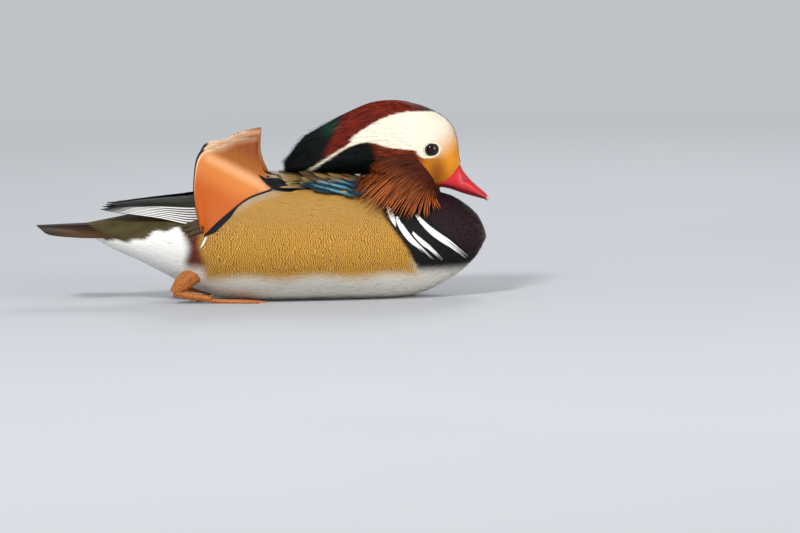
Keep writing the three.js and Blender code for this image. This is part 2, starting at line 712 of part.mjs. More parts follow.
function foot() {
  const toes = [
    { turn: -0.2, long: 33 },
    { turn: 0.06, long: 41 },
    { turn: 0.3, long: 36 },
  ];
  const pieces = [];
  const ends = [];
  for (const toe of toes) {
    const end = v(FOOT.ballX + toe.long * Math.cos(toe.turn), FOOT.side - toe.long * Math.sin(toe.turn), 0.4);
    const middle = v(FOOT.ballX, FOOT.side, 1.6).lerp(end, 0.5);
    pieces.push(rod([v(FOOT.ballX - 2.6, FOOT.side, 1.6), middle, end], line([0, 2.2], [0.8, 1.4], [1, 0.5]), 4, 6));
    ends.push(end);
  }
  const hind = [v(FOOT.ballX, FOOT.side + 1, 2.4), v(-46, FOOT.side + 5, 1.8), v(-53, FOOT.side + 6, 1)];
  pieces.push(rod(hind, line([0, 1.5], [1, 0.5]), 2, 6));
  for (let k = 0; k < 2; k += 1) {
    const grid = [];
    for (let i = 0; i <= 2; i += 1) {
      const row = [];
      for (let j = 0; j <= 3; j += 1) {
        const reach = (0.86 - 0.14 * Math.sin((Math.PI * j) / 3)) * (i / 2);
        const point = v(FOOT.ballX, FOOT.side, 0).lerp(ends[k].clone().lerp(ends[k + 1], j / 3), reach + 0.02);
        point.z = 0.55;
        row.push({ point, normal: v(0, 0, 1), half: FOOT.web / 2 });
      }
      grid.push(row);
    }
    pieces.push(sheet(grid));
  }
  return join(pieces).subtract(bodyClear).subtract(belowFloor).subtract(legRods(GAP));
}

const material = (colour, roughness, metalness = 0) => new THREE.MeshStandardMaterial({
  color: colour,
  roughness,
  metalness,
});

// The geometry of a solid, and its mirror image in the duck's middle plane.
function geometryFrom(made, mirror = false) {
  const mesh = made.getMesh();
  const positions = Float32Array.from(mesh.vertProperties);
  const index = Array.from(mesh.triVerts);
  const geometry = new THREE.BufferGeometry();
  geometry.setAttribute('position', new THREE.BufferAttribute(positions, 3));
  geometry.setIndex(mirror ? index.reverse() : index);
  if (mirror) geometry.scale(1, -1, 1);
  return geometry;
}

const duck = new THREE.Group();

function place(name, made, look, mirror = false) {
  const mesh = new THREE.Mesh(geometryFrom(made, mirror), look);
  mesh.name = name;
  duck.add(mesh);
}

place('torso', largest(torso()), material(0xb08a4a, 0.85));
place('neck', largest(neck()), material(0x6a2f1a, 0.85));
place('head', largest(head()), material(0xe8b070, 0.8));
place('bill_upper', largest(billUpper()), material(0xc8202c, 0.35));
place('bill_lower', largest(billLower()), material(0xa81c28, 0.4));
place('crest', largest(crest()), material(0x3a1a1a, 0.7));
place('tail', largest(tail()), material(0x4a3a2a, 0.8));
const paired = [
  ['ruff', ruff(), material(0x8a3a1a, 0.75)],
  ['wing', wing(), material(0x2a2a2c, 0.6)],
  ['scapulars', scapulars(), material(0x4a3c28, 0.7)],
  ['sail', sail(), material(0xd07a3c, 0.7)],
  ['leg', leg(), material(0xc88a3a, 0.7)],
  ['foot', foot(), material(0xc8862e, 0.7)],
  ['eye', eyeBall(-1, 0), material(0x140a06, 0.1)],
];
for (const [name, made, look] of paired) {
  const piece = largest(made);
  place(`${name}_right`, piece, look);
  place(`${name}_left`, piece, look, true);
}

export default duck;
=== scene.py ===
# The looks of a drake mandarin duck afloat. Lengths are in millimetres until a mesh is made.
import math

import bpy
import numpy as np
from mathutils import Matrix, Vector


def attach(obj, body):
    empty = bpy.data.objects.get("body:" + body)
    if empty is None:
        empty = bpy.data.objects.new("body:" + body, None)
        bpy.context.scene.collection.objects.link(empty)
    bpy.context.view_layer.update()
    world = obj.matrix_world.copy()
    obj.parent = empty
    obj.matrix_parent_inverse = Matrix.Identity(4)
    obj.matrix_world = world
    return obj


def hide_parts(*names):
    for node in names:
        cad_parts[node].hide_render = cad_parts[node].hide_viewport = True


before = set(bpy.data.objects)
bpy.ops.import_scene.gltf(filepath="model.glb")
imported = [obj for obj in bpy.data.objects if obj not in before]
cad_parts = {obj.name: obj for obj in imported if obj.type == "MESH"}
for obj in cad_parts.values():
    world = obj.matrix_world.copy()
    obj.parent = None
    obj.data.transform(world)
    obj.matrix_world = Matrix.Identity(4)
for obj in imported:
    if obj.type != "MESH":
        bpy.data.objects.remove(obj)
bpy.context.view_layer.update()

MM = 0.001
BODY_NAME = "root"
RNG = np.random.default_rng(20)
MIRROR = np.array([1, -1, 1])
UV_REACH = 0.0015
BUMP_DEPTH = 0.3


# Numbers and curves

def line(*pairs):
    """A smooth line through a few (place, value) pairs, which never swings past them."""
    xs = np.array([pair[0] for pair in pairs], float)
    ys = np.array([pair[1] for pair in pairs], float)
    rise = np.diff(ys) / np.diff(xs)
    slope = np.zeros(len(xs))
    slope[0] = rise[0]
    slope[-1] = rise[-1]
    for i in range(1, len(xs) - 1):
        if rise[i - 1] * rise[i] > 0:
            slope[i] = 2 / (1 / rise[i - 1] + 1 / rise[i])

    def value(place):
        at = np.clip(np.asarray(place, float), xs[0], xs[-1])
        i = np.clip(np.searchsorted(xs, at) - 1, 0, len(xs) - 2)
        span = xs[i + 1] - xs[i]
        t = (at - xs[i]) / span
        ends = ys[i] * (1 + 2 * t) * (1 - t) ** 2 + ys[i + 1] * t * t * (3 - 2 * t)
        return ends + span * (slope[i] * t * (1 - t) ** 2 + slope[i + 1] * t * t * (t - 1))

    return value


def circle(sides):
    """Angles once round, for the columns of a ring."""
    return np.linspace(0, 2 * np.pi, sides, endpoint=False)[None, :]


def smooth(low, high, value):
    """0 below low, 1 above high and a soft step between."""
    t = np.clip((np.asarray(value, float) - low) / (high - low), 0, 1)
    return t * t * (3 - 2 * t)


def unit(vectors):
    return vectors / np.maximum(np.linalg.norm(vectors, axis=-1, keepdims=True), 1e-9)


def rgb(code):
    """A colour as linear light from its six hexadecimal digits."""
    parts = np.array([int(code[i:i + 2], 16) for i in (0, 2, 4)]) / 255
    return np.where(parts <= 0.04045, parts / 12.92, ((parts + 0.055) / 1.055) ** 2.4)


def blend(base, over, mask):
    """Lays one colour over another where the mask says."""
    mask = np.asarray(mask, float)[..., None]
    return base * (1 - mask) + over * mask


# The outlines of body and head, as in the solids

class Form:
    def __init__(self, start, end, top, keel, belt, half, upper, lower):
        self.start = start
        self.end = end
        self.top = top
        self.keel = keel
        self.belt = belt
        self.half = half
        self.upper = upper
        self.lower = lower

    def point(self, x, angle, grow=0.0):
        x, angle, grow = np.broadcast_arrays(*(np.asarray(a, float) for a in (x, angle, grow)))
        share = np.clip((x - self.start) / (self.end - self.start), 0, 1)
        c = np.cos(angle)
        s = np.sin(angle)
        power = np.where(s > 0, 2 / self.upper, 2 / self.lower)
        half = np.maximum(self.half(x) + grow, 0.4)
        reach = np.where(s > 0, self.top(x) - self.belt(x), self.belt(x) - self.keel(x))
        rise = np.maximum(reach + grow, 0.3)
        return np.stack([
            x - grow * np.cos(np.pi * share),
            half * np.sign(c) * np.abs(c) ** power,
            self.belt(x) + rise * np.sign(s) * np.abs(s) ** power,
        ], axis=-1)

    def normal(self, x, angle):
        here = self.point(x, angle)
        along = self.point(np.asarray(x) + 0.5, angle) - here
        around = self.point(x, np.asarray(angle) + 0.02) - here
        return unit(np.cross(around, along))

    def side(self, x, z, grow=0.0):
        above = z > self.belt(x)
        reach = np.where(above, self.top(x) - self.belt(x), self.belt(x) - self.keel(x))
        power = np.where(above, self.upper, self.lower)
        share = np.clip(np.abs(z - self.belt(x)) / np.maximum(reach + grow, 0.3), 0, 1)
        return (self.half(x) + grow) * (1 - share ** power) ** (1 / power)


BODY = Form(
    -140, 173.9,
    line((-140, 61.5), (-112, 66.5), (-95, 70), (-55, 85), (0, 97), (30, 99), (60, 97.5), (90, 92),
         (110, 87), (125, 83.5), (138, 80.5), (146, 78.2), (162.6, 66.9), (169, 59.7), (172.8, 52),
         (173.9, 46.6)),
    line((-140, 57.5), (-129, 48.3), (-112, 38.7), (-95, 31), (-75, 20), (-55, 10), (-30, 1.5),
         (-5, -1.5), (88, -1.5), (110, 0.5), (130, 6), (150, 17), (162, 27), (170, 37), (173.9, 44)),
    line((-140, 60), (-95, 50), (-55, 46), (0, 44), (60, 43), (120, 43), (160, 44.5), (173.9, 45.4)),
    line((-140, 5), (-125, 13), (-110, 19), (-95, 24), (-75, 33), (-55, 42), (-35, 50), (-10, 55.5),
         (25, 58), (50, 57), (75, 53.5), (95, 50), (115, 45), (135, 37.5), (150, 30), (162, 20.5),
         (170, 11), (173.9, 2.5)),
    1.92, 2.05,
)

HEAD = Form(
    17.6, 154.6,
    line((17.6, 103), (26.3, 115.3), (33.9, 125), (44.9, 131.6), (66.7, 143.4), (88.7, 151.6),
         (99.6, 152.7), (110.6, 151.9), (121.5, 149.6), (132.4, 145.4), (143.4, 138.4), (149.2, 131.5),
         (152.4, 122), (153.8, 112), (154.6, 105)),
    line((17.6, 100), (50, 99), (80, 98.5), (100, 97), (115, 93.5), (127, 87.5), (138, 83.8), (145, 87),
         (150, 92), (153.4, 98), (154.6, 102)),
    line((17.6, 101.5), (30, 104), (50, 109), (70, 112), (90, 113), (112, 112), (140, 108), (154.6, 103.5)),
    line((17.6, 1.6), (25, 5.4), (35, 8.2), (50, 11), (70, 14.6), (90, 17.2), (112, 19.3), (122, 19.5),
         (131, 18.7), (140, 16.2), (148, 12), (152, 8), (154.6, 3)),
    2.1, 2.2,
)

NECK = {"middle": 110, "low": 62, "high": 101, "length": 29, "spread": 6, "width": 20, "base": 33}

flank_edge = line((-96, 84), (-80, 75), (-62, 64), (-46, 55.5), (-33, 67), (-20, 77.8), (6, 88.3),
                  (28, 90.5), (55, 86), (68, 84), (82, 90), (92, 100))


def neck_point(t, angle, grow):
    """A place on the neck's column, t from the breast up to the head."""
    t, angle = np.broadcast_arrays(np.asarray(t, float), np.asarray(angle, float))
    length = NECK["length"] + NECK["spread"] * (1 - t) ** 2 - 6 * t + grow
    width = NECK["base"] + (NECK["width"] - NECK["base"]) * t ** 0.7 + grow
    z = NECK["low"] + (NECK["high"] - NECK["low"]) * t
    return np.stack([NECK["middle"] + length * np.cos(angle), width * np.sin(angle), z], axis=-1)


# Colours

CREAM = rgb("f6e9d2")
WHITE = rgb("f8f6f0")
GOLD = rgb("f29a1e")
ORANGE = rgb("a8530f")
MAROON = rgb("691d0f")
CROWN_DARK = rgb("2a1216")
GREEN_BLACK = rgb("080e0c")
GREEN_SHEEN = rgb("163529")
BLACK = rgb("0b0a0c")
CHESTNUT = rgb("6a2810")
BREAST = rgb("240d14")
FLANK = rgb("b48a42")
FLANK_LOW = rgb("cc9a40")
BELLY = rgb("ece7da")
RUMP_RED = rgb("5e281b")
COVERT_BROWN = rgb("41361e")
BACK_BRONZE = rgb("5a4526")
BACK_DARK = rgb("1e1a18")
# painted shade for the lower face, behind the bill base and in front of the ruff
FACE_SHADE_BROWN = rgb("8a4209")
FLANK_GREY = rgb("b9b2a4")
COVERT_OLIVE = rgb("5a4f26")
THROAT = rgb("5a2410")
VERMICULATION = rgb("7c4a15")

white_top = line((32, 98), (34, 99), (45, 106.3), (59, 115), (66.7, 119.8), (72.2, 126.5), (83, 133.8),
                 (94, 139.5), (105, 143.2), (116, 144.6), (132, 144.2), (141.6, 140.2), (150, 133))
white_low = line((35.5, 98), (50, 107.2), (60.2, 114), (71.2, 119.3), (82, 121.6), (88.7, 120.6),
                 (97.4, 117.4), (110.6, 115.8), (121.5, 114.5), (135, 108))


def head_colour(points):
    """The plumage colour at places on the head, from the side view, with some painted shade low on the face.
    """
    x, y, z = points[..., 0], points[..., 1], points[..., 2]
    colour = blend(GREEN_BLACK, GREEN_SHEEN, 0.9 * smooth(7, 2, np.hypot((x - 57) / 2.2, (z - 133) / 1.6)))
    upper = smooth(-0.5, 0.5, z - white_low(x))
    lean = x - (50 + 0.5 * (z - 115))
    colour = blend(colour, MAROON, smooth(-3, 3, lean) * upper)
    colour = blend(colour, CROWN_DARK, smooth(112, 134, x) * upper)
    below = smooth(0.5, -0.5, z - white_low(x)) * smooth(86, 92, x + 0.35 * (z - 110))
    colour = blend(colour, CHESTNUT, below)
    face = smooth(117, 129, x + 0.28 * (108 - z)) * smooth(0.5, -0.5, z - white_low(x))
    colour = blend(colour, ORANGE, face)
    patch = smooth(-0.5, 0.5, z - white_low(x)) * smooth(0.5, -0.5, z - white_top(x))
    front = smooth(134, 146, x)
    patch = np.maximum(patch, front * smooth(0.8, -0.8, z - white_top(np.minimum(x, 150))))
    colour = blend(colour, CREAM, patch * smooth(32, 36, x))
    golden = smooth(0.1, 1.0, (x - 122) / 42 + (121 - z) / 34) * smooth(121, 133, x + 0.3 * (110 - z))
    colour = blend(colour, GOLD, golden * smooth(0.8, -0.8, z - white_top(np.minimum(x, 150))))
    # painted shade, low on the face behind the bill base and in front of the ruff
    face_shade = smooth(13, 1, np.hypot((x - 136) / 0.9, (z - 98) / 1.5))
    colour = blend(colour, FACE_SHADE_BROWN, 0.8 * face_shade)
    ring = smooth(1.12, 0.95, np.hypot((x - 129.8) / 9.2, (z - 114.9 - 0.06 * (x - 129.8)) / 6.3))
    colour = blend(colour, CREAM, ring)
    line_mask = smooth(3.0, 1.4, np.abs(y)) * smooth(126, 138, x) * smooth(97, 102, z)
    return blend(colour, BLACK, line_mask)


breast_edge_x = line((20, 122), (41.5, 110.4), (55, 101.5), (69, 92.4), (90, 84))
BARS = [
    {"spine": [(97, 74), (100.2, 65.3), (103.4, 57.5)], "half": line((0, 1.1), (0.5, 2.0), (1, 0.8))},
    {"spine": [(102.4, 68), (108, 56.6), (115, 47.1), (121.8, 41), (133, 29)],
     "half": line((0, 1.4), (0.4, 2.2), (1, 1.4))},
    {"spine": [(115, 54.1), (122, 46.6), (128.2, 41), (139, 30)],
     "half": line((0, 0.7), (0.7, 2.0), (1, 1.2))},
    {"spine": [(116, 69), (127.5, 56.2), (136.9, 48.3), (144.7, 42.7), (158, 31)],
     "half": line((0, 1.3), (0.6, 2.8), (1, 1.6))},
    {"spine": [(-43.0, 53.5), (-45.2, 48.5), (-48, 44)], "half": line((0, 0.2), (0.6, 0.6), (1, 0.2))},
]
purple_from = line((20, 170), (41, 147), (55, 131), (69, 117), (80, 104))


sail_base = line((-45, 54), (-28, 69), (-9, 82.5), (8, 88))


def behind_sail(points):
    """1 on the back side of the line that the sail stands on."""
    x, z = points[..., 0], points[..., 2]
    return smooth(0, 0.6, z - sail_base(x)) * smooth(20, 15, x) * smooth(-47, -45, x)


tail_line = line((-140, 57), (-112, 49), (-96, 50), (-84, 56), (-66, 59), (-56, 52))


def body_colour(points):
    """The plumage colour at places on the body, from the side view."""
    x, z = points[..., 0], points[..., 2]
    above_flank = z - flank_edge(x)
    colour = blend(FLANK, FLANK_LOW, smooth(70, 42, z))
    colour = blend(colour, BELLY, smooth(26, 14, z + 1.5 * np.sin(x / 9)))
    grey = smooth(11, 1, -above_flank) * smooth(22, 4, x) * smooth(-44, -34, x)
    colour = blend(colour, FLANK_GREY, 0.7 * grey)
    seam = smooth(2.4, 0.9, -above_flank) * smooth(16, 4, x) * smooth(-36, -30, x)
    colour = blend(colour, WHITE, 0.85 * seam)
    past_edge = x - breast_edge_x(z)
    colour = blend(colour, BELLY, smooth(36, 24, z) * smooth(-6, 2, past_edge))
    colour = blend(colour, BLACK, smooth(-1.5, 1.5, past_edge) * smooth(18, 28, z))
    colour = blend(colour, BREAST, smooth(2, 12, x - purple_from(z)) * smooth(12, 24, z))
    colour = blend(colour, BREAST, smooth(-2, 4, past_edge) * smooth(72, 80, z))
    colour = blend(colour, BACK_BRONZE, smooth(-0.2, 0.5, above_flank) * smooth(92, 84, x))
    rump = smooth(-43, -50, x + 2 * np.sin(z / 6))
    colour = blend(colour, RUMP_RED, rump * smooth(20, 34, z))
    colour = blend(colour, WHITE, rump * smooth(34, 20, z))
    above_tail = z - tail_line(x) + 1.2 * np.sin(x / 2.5)
    colour = blend(colour, WHITE, smooth(-55, -63, x + 1.5 * np.sin(z / 4)) * smooth(1.5, -1.5, above_tail))
    upper = smooth(-54, -62, x + 3 * np.sin(z / 5)) * smooth(-1.5, 1.5, above_tail)
    olive = 0.5 + 0.25 * (np.sin(x / 2.1 + 3 * np.sin(z / 2.6)) + np.sin(x / 5.3 - z / 1.7))
    colour = blend(colour, COVERT_BROWN, upper)
    colour = blend(colour, COVERT_OLIVE, 0.6 * upper * olive)
    rear_back = smooth(8, -4, x) * smooth(-92, -86, x)
    colour = blend(colour, BACK_DARK, smooth(-0.2, 0.5, above_flank) * rear_back)
    return blend(colour, BACK_DARK, behind_sail(points))


# Meshes

def add_object(name, data):
    piece = bpy.data.objects.new(name, data)
    bpy.context.scene.collection.objects.link(piece)
    return piece


def mesh_object(name, vertices, faces):
    mesh = bpy.data.meshes.new(name)
    mesh.from_pydata([tuple(p) for p in np.asarray(vertices) * MM], [], faces)
    mesh.update()
    mesh.shade_smooth()
    return add_object(name, mesh)


def set_tint(mesh, colours):
    flat = np.ones((len(mesh.vertices), 4), np.float32)
    flat[:, :3] = np.asarray(colours).reshape(-1, 3)
    layer = mesh.color_attributes.new("tint", "FLOAT_COLOR", "POINT")
    layer.data.foreach_set("color", flat.ravel())


def set_float(mesh, name, values):
    layer = mesh.attributes.new(name, "FLOAT", "POINT")
    layer.data.foreach_set("value", np.asarray(values, np.float32).ravel())


def feather_mesh(name, vertices, faces, colours, run, off, places, facing):
    """One mesh of many feathers. vertices is (feather, ..., row, column, 3), faces is a list of arrays
    of corners, and places holds each root's place on an unwrap of the skin."""
    mesh = bpy.data.meshes.new(name)
    shape = vertices.shape[:-1]
    mesh.vertices.add(vertices.size // 3)
    mesh.vertices.foreach_set("co", (vertices * MM).astype(np.float32).ravel())
    corners = np.concatenate([part.ravel() for part in faces]).astype(np.int32)
    totals = np.concatenate([np.full(len(part), part.shape[1]) for part in faces])
    mesh.loops.add(len(corners))
    mesh.loops.foreach_set("vertex_index", corners)
    mesh.polygons.add(len(totals))
    mesh.polygons.foreach_set("loop_start", (np.cumsum(totals) - totals).astype(np.int32))
    mesh.update(calc_edges=True)
    mesh.validate()
    each = (len(vertices),) + (1,) * (len(shape) - 1)
    rows, columns = shape[-2:]
    set_tint(mesh, np.broadcast_to(colours, vertices.shape))
    rim = np.abs(np.linspace(-1, 1, columns))
    seed = RNG.random(len(vertices)).reshape(each)
    for key, values in (("run", run), ("off", off), ("rim", rim), ("seed", seed)):
        set_float(mesh, key, np.broadcast_to(values, shape))
    u = places[:, 0].reshape(each) + np.linspace(-UV_REACH, UV_REACH, rows)[:, None]
    v = places[:, 1].reshape(each) + np.linspace(-UV_REACH, UV_REACH, columns)
    flat = np.stack([np.broadcast_to(u, shape), np.broadcast_to(v, shape)], axis=-1).reshape(-1, 2)
    index = np.zeros(len(mesh.loops), np.int32)
    mesh.loops.foreach_get("vertex_index", index)
    layer = mesh.uv_layers.new(name="OFBake")
    layer.data.foreach_set("uv", np.clip(flat[index], 0, 1).astype(np.float32).ravel())
    mesh.shade_smooth()
    if facing is not None:
        mesh.normals_split_custom_set_from_vertices(facing.reshape(-1, 3))
    return add_object(name, mesh)


def mirrored(wanted, *arrays):
    """The same places or directions on the other side of the bird, where wanted."""
    return [a * MIRROR if wanted else a for a in arrays]


def other_side(grid, colours, off):
    """Broad feathers on the other side of the bird, turned so that their faces still look outward."""
    return (grid * MIRROR)[:, :, ::-1], colours[:, :, ::-1], off[:, :, ::-1]


def feather_axes(path, normals):
    """The directions across and out of each feather along its path."""
    forward = unit(np.gradient(path, axis=1))
    side = unit(np.cross(forward, normals))
    return side, unit(np.cross(side, forward))


def run_along(path):
    """The length from each feather's root, at every station."""
    lengths = np.linalg.norm(np.diff(path, axis=1), axis=-1)
    return np.concatenate([np.zeros((len(path), 1)), np.cumsum(lengths, axis=1)], axis=1)[..., None]


def vanes(name, path, normals, half, colours, places, thick, camber, curl=0.2):
    """Many narrow closed vanes in one mesh. path is (vane, station, 3), and half and colours reach over
    its vanes and stations. curl turns the shading at the rims, and None leaves it to the faces."""
    count, stations = path.shape[:2]
    side, up = feather_axes(path, normals)
    rim = path - up * (camber * half)[..., None]
    spread = side * half[..., None]
    vertices = np.stack([rim - spread, path + up * thick, rim + spread], axis=2)
    base = (np.arange(count) * stations * 3)[:, None]
    faces = []
    for a in range(0, 3 * stations - 3, 3):
        b = a + 3
        for first, second in ((0, 1), (1, 2), (2, 0)):
            faces.append(base + [a + first, a + second, b + second, b + first])
    end = 3 * (stations - 1)
    faces.append(base + [0, 2, 1])
    faces.append(base + [end, end + 1, end + 2])
    facing = None
    if curl is not None:
        flat = unit(np.broadcast_to(normals, path.shape))
        facing = np.stack([unit(flat - side * curl), flat, unit(flat + side * curl)], axis=2)
    colours = np.broadcast_to(colours, path.shape)[:, :, None]
    off = half[..., None] * np.array([-1, 0, 1])
    return feather_mesh(name, vertices, faces, colours, run_along(path), off, places, facing)


def finish_piece(piece, material, slot, *nodes):
    piece.data.materials.clear()
    piece.data.materials.append(material)
    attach(piece, BODY_NAME)
    if nodes:
        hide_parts(*nodes)
    return piece


# Materials

def node_material(name, roughness, specular, sheen=0.0):
    material = bpy.data.materials.new(name)
    material.use_nodes = True
    tree = material.node_tree
    shader = tree.nodes["Principled BSDF"]
    shader.inputs["Roughness"].default_value = roughness
    shader.inputs["Specular IOR Level"].default_value = specular
    shader.inputs["Sheen Weight"].default_value = sheen
    return material, tree, shader


def add_node(tree, kind, **values):
    node = tree.nodes.new(kind)
    for key, value in values.items():
        setattr(node, key, value)
    return node


def math_node(tree, operation, first, second=None):
    node = add_node(tree, "ShaderNodeMath", operation=operation)
    for socket, value in zip(node.inputs, (first, second)):
        if value is None:
            continue
        if isinstance(value, (int, float)):
            socket.default_value = value
        else:
            tree.links.new(value, socket)
    return node.outputs[0]


def mix_colour(tree, factor, first, second, mode="MIX"):
    node = add_node(tree, "ShaderNodeMix", data_type="RGBA", blend_type=mode)
    for socket, value in ((node.inputs[0], factor), (node.inputs[6], first), (node.inputs[7], second)):
        if isinstance(value, (int, float)):
            socket.default_value = value
        elif isinstance(value, (tuple, list, np.ndarray)):
            socket.default_value = (*value[:3], 1.0)
        else:
            tree.links.new(value, socket)
    return node.outputs[2]


def scaled(tree, value, factor, plus):
    return math_node(tree, "ADD", math_node(tree, "MULTIPLY", value, factor), plus)


def attribute(tree, name):
    return add_node(tree, "ShaderNodeAttribute", attribute_name=name)


def noise(tree, scale, detail=3.0):
    node = add_node(tree, "ShaderNodeTexNoise")
    place = add_node(tree, "ShaderNodeTexCoord")
    tree.links.new(place.outputs["Object"], node.inputs["Vector"])
    node.inputs["Scale"].default_value = scale
    node.inputs["Detail"].default_value = detail
    return node.outputs["Fac"]


def ramp(tree, value, low, high):
    node = add_node(tree, "ShaderNodeMapRange")
    tree.links.new(value, node.inputs["Value"])
    node.inputs["From Min"].default_value = low
    node.inputs["From Max"].default_value = high
    return node.outputs["Result"]


def bump(tree, shader, height, strength):
    node = add_node(tree, "ShaderNodeBump")
    node.inputs["Strength"].default_value = strength
    node.inputs["Distance"].default_value = BUMP_DEPTH * MM
    tree.links.new(height, node.inputs["Height"])
    tree.links.new(node.outputs["Normal"], shader.inputs["Normal"])


def feather_material(name, roughness, barb, streak, specular=0.3, contrast=0.3, rim=None):
    """Feather vane: tint with barbs slanting off the shaft, and each vane a little different."""
    material, tree, shader = node_material(name, roughness, specular)
    tint = attribute(tree, "tint").outputs["Color"]
    run = attribute(tree, "run").outputs["Fac"]
    away = math_node(tree, "ABSOLUTE", attribute(tree, "off").outputs["Fac"])
    seed = attribute(tree, "seed").outputs["Fac"]
    slant = math_node(tree, "SUBTRACT", run, math_node(tree, "MULTIPLY", away, 1.6))
    wobble = math_node(tree, "MULTIPLY", noise(tree, 900.0), 2.0)
    phase = scaled(tree, slant, 2 * math.pi / barb, wobble)
    barbs = scaled(tree, math_node(tree, "SINE", phase), 0.5, 0.5)
    shade = scaled(tree, seed, streak, 1 - streak / 2)
    fine = scaled(tree, barbs, contrast, 1 - contrast / 2)
    factor = math_node(tree, "MULTIPLY", shade, fine)
    bright = add_node(tree, "ShaderNodeCombineColor")
    for socket in bright.inputs[:3]:
        tree.links.new(factor, socket)
    colour = mix_colour(tree, 1.0, tint, bright.outputs[0], "MULTIPLY")
    if rim is not None:
        code, start, end = rim
        outer = ramp(tree, attribute(tree, "rim").outputs["Fac"], start, end)
        colour = mix_colour(tree, outer, colour, rgb(code))
    tree.links.new(colour, shader.inputs["Base Color"])
    bump(tree, shader, barbs, 0.25)
    return material


def skin_material(name):
    material, tree, shader = node_material(name, 0.85, 0.2, 0.2)
    tint = attribute(tree, "tint").outputs["Color"]
    grain = noise(tree, 700.0)
    dark = mix_colour(tree, ramp(tree, grain, 0.35, 0.7), (0.88, 0.88, 0.88), (1.0, 1.0, 1.0))
    colour = mix_colour(tree, 1.0, tint, dark, "MULTIPLY")
    tree.links.new(colour, shader.inputs["Base Color"])
    bump(tree, shader, grain, 0.4)
    return material


# Skin: body, neck and head in one surface without seams

def loft_faces(rings, sides):
    """The faces of a row of rings, closed at both ends."""
    faces = []
    for a in range(0, (rings - 1) * sides, sides):
        b = a + sides
        for j in range(sides):
            k = (j + 1) % sides
            faces.append((a + j, b + j, b + k, a + k))
    faces.append(tuple(range(sides)))
    faces.append(tuple(reversed(range((rings - 1) * sides, rings * sides))))
    return faces


def form_shell(name, form, grow, rings, sides):
    share = np.linspace(0, 1, rings)
    bent = 0.45 * (0.5 - 0.5 * np.cos(np.pi * share)) + 0.55 * share
    x = (form.start + (form.end - form.start) * bent)[:, None]
    angle = circle(sides)
    points = form.point(x, angle)
    depth = grow(points) if callable(grow) else grow
    return mesh_object(name, form.point(x, angle, depth).reshape(-1, 3), loft_faces(rings, sides))


def in_bed(points, soft=1.5):
    """1 where the back lies lower under wings and scapulars."""
    x, z = points[..., 0], points[..., 2]
    return smooth(0, soft, z - flank_edge(x)) * smooth(-92, -84, x) * smooth(92, 86, x)


def apply_modifiers(piece):
    graph = bpy.context.evaluated_depsgraph_get()
    mesh = bpy.data.meshes.new_from_object(piece.evaluated_get(graph))
    old = piece.data
    piece.modifiers.clear()
    piece.data = mesh
    bpy.data.meshes.remove(old)


def join_meshes(name, pieces):
    with bpy.context.temp_override(active_object=pieces[0], selected_editable_objects=pieces):
        bpy.ops.object.join()
    pieces[0].name = name
    return pieces[0]


SKIN = {"body": -0.5, "bed": 3.6, "head": -0.45, "neck": -0.8, "voxel": 1.3, "lowest": 0.1}


def make_skin():
    body = form_shell("skin", BODY, lambda p: SKIN["body"] - SKIN["bed"] * in_bed(p), 150, 120)
    head = form_shell("skin_head", HEAD, SKIN["head"], 110, 90)
    rings, sides = 24, 80
    t = np.linspace(0, 1, rings)[:, None]
    angle = circle(sides)
    column = neck_point(t, angle, SKIN["neck"])
    neck = mesh_object("skin_neck", column.reshape(-1, 3), loft_faces(rings, sides))
    skin = join_meshes("skin", [body, head, neck])
    remesh = skin.modifiers.new("one", "REMESH")
    remesh.mode = "VOXEL"
    remesh.voxel_size = SKIN["voxel"] * MM
    soften = skin.modifiers.new("soft", "SMOOTH")
    soften.factor = 0.5
    soften.iterations = 4
    apply_modifiers(skin)
    skin.data.shade_smooth()
    points = vertex_places(skin)
    points[:, 2] = np.maximum(points[:, 2], SKIN["lowest"])
    skin.data.vertices.foreach_set("co", (points * MM).astype(np.float32).ravel())
    skin.data.update()
    on_head = smooth(-2, 2, points[:, 2] - (101 - 0.35 * np.clip(points[:, 0] - 90, 0, 60)))
    on_head = on_head * (points[:, 0] > 15)
    colours = blend(body_colour(points), head_colour(points), on_head)
    throat = smooth(84, 90, points[:, 0]) * smooth(90, 84, np.abs(points[:, 2] - 90) + 82) * (1 - on_head)
    set_tint(skin.data, blend(colours, CHESTNUT, throat))
    return finish_piece(skin, skin_material("skin_feathered"), "plumage_body", "torso", "neck", "head")


def vertex_places(piece):
    flat = np.zeros(len(piece.data.vertices) * 3, np.float32)
    piece.data.vertices.foreach_get("co", flat)
    return flat.reshape(-1, 3).astype(float) / MM


# Coat

def scatter(form, x_from, x_to, row, pitch):
    """Roots in staggered rows round a form: their x and angle."""
    xs, angles = [], []
    turn = np.linspace(0, 2 * np.pi, 361)
    for index, x in enumerate(np.arange(x_from, x_to, row)):
        ring = form.point(x, turn)
        length = np.concatenate([[0], np.cumsum(np.linalg.norm(np.diff(ring, axis=0), axis=1))])
        count = max(int(length[-1] / pitch), 3)
        marks = (np.arange(count) + 0.5 * (index % 2) + 0.22 * RNG.standard_normal(count)) / count
        angles.append(np.interp((marks % 1) * length[-1], length, turn))
        xs.append(x + 0.25 * row * RNG.standard_normal(count))
    return np.concatenate(xs), np.concatenate(angles)


def along_form(form, x, angle, length, lifts, sway=0.0):
    """Paths that start at x and angle and run back along a form."""
    t = np.linspace(0, 1, lifts.shape[-1])[None, :]
    reach = x[:, None] - t * length[:, None]
    turned = angle[:, None] + sway * t ** 1.5
    return form.point(reach, turned, lifts), form.normal(reach, turned)


def places_on(form, x, angle):
    u = (x - form.start) / (form.end - form.start)
    return np.stack([np.clip(u, 0.01, 0.99), (angle % (2 * np.pi)) / (2 * np.pi) * 0.98 + 0.01], axis=1)


def taper(stations, start, tip, power=2.2):
    """Half width along a vane as a share of its widest."""
    t = np.linspace(0, 1, stations)
    grown = np.minimum(start + (1 - start) * t * 3, 1)
    return grown * np.maximum((1 - t ** power), tip)


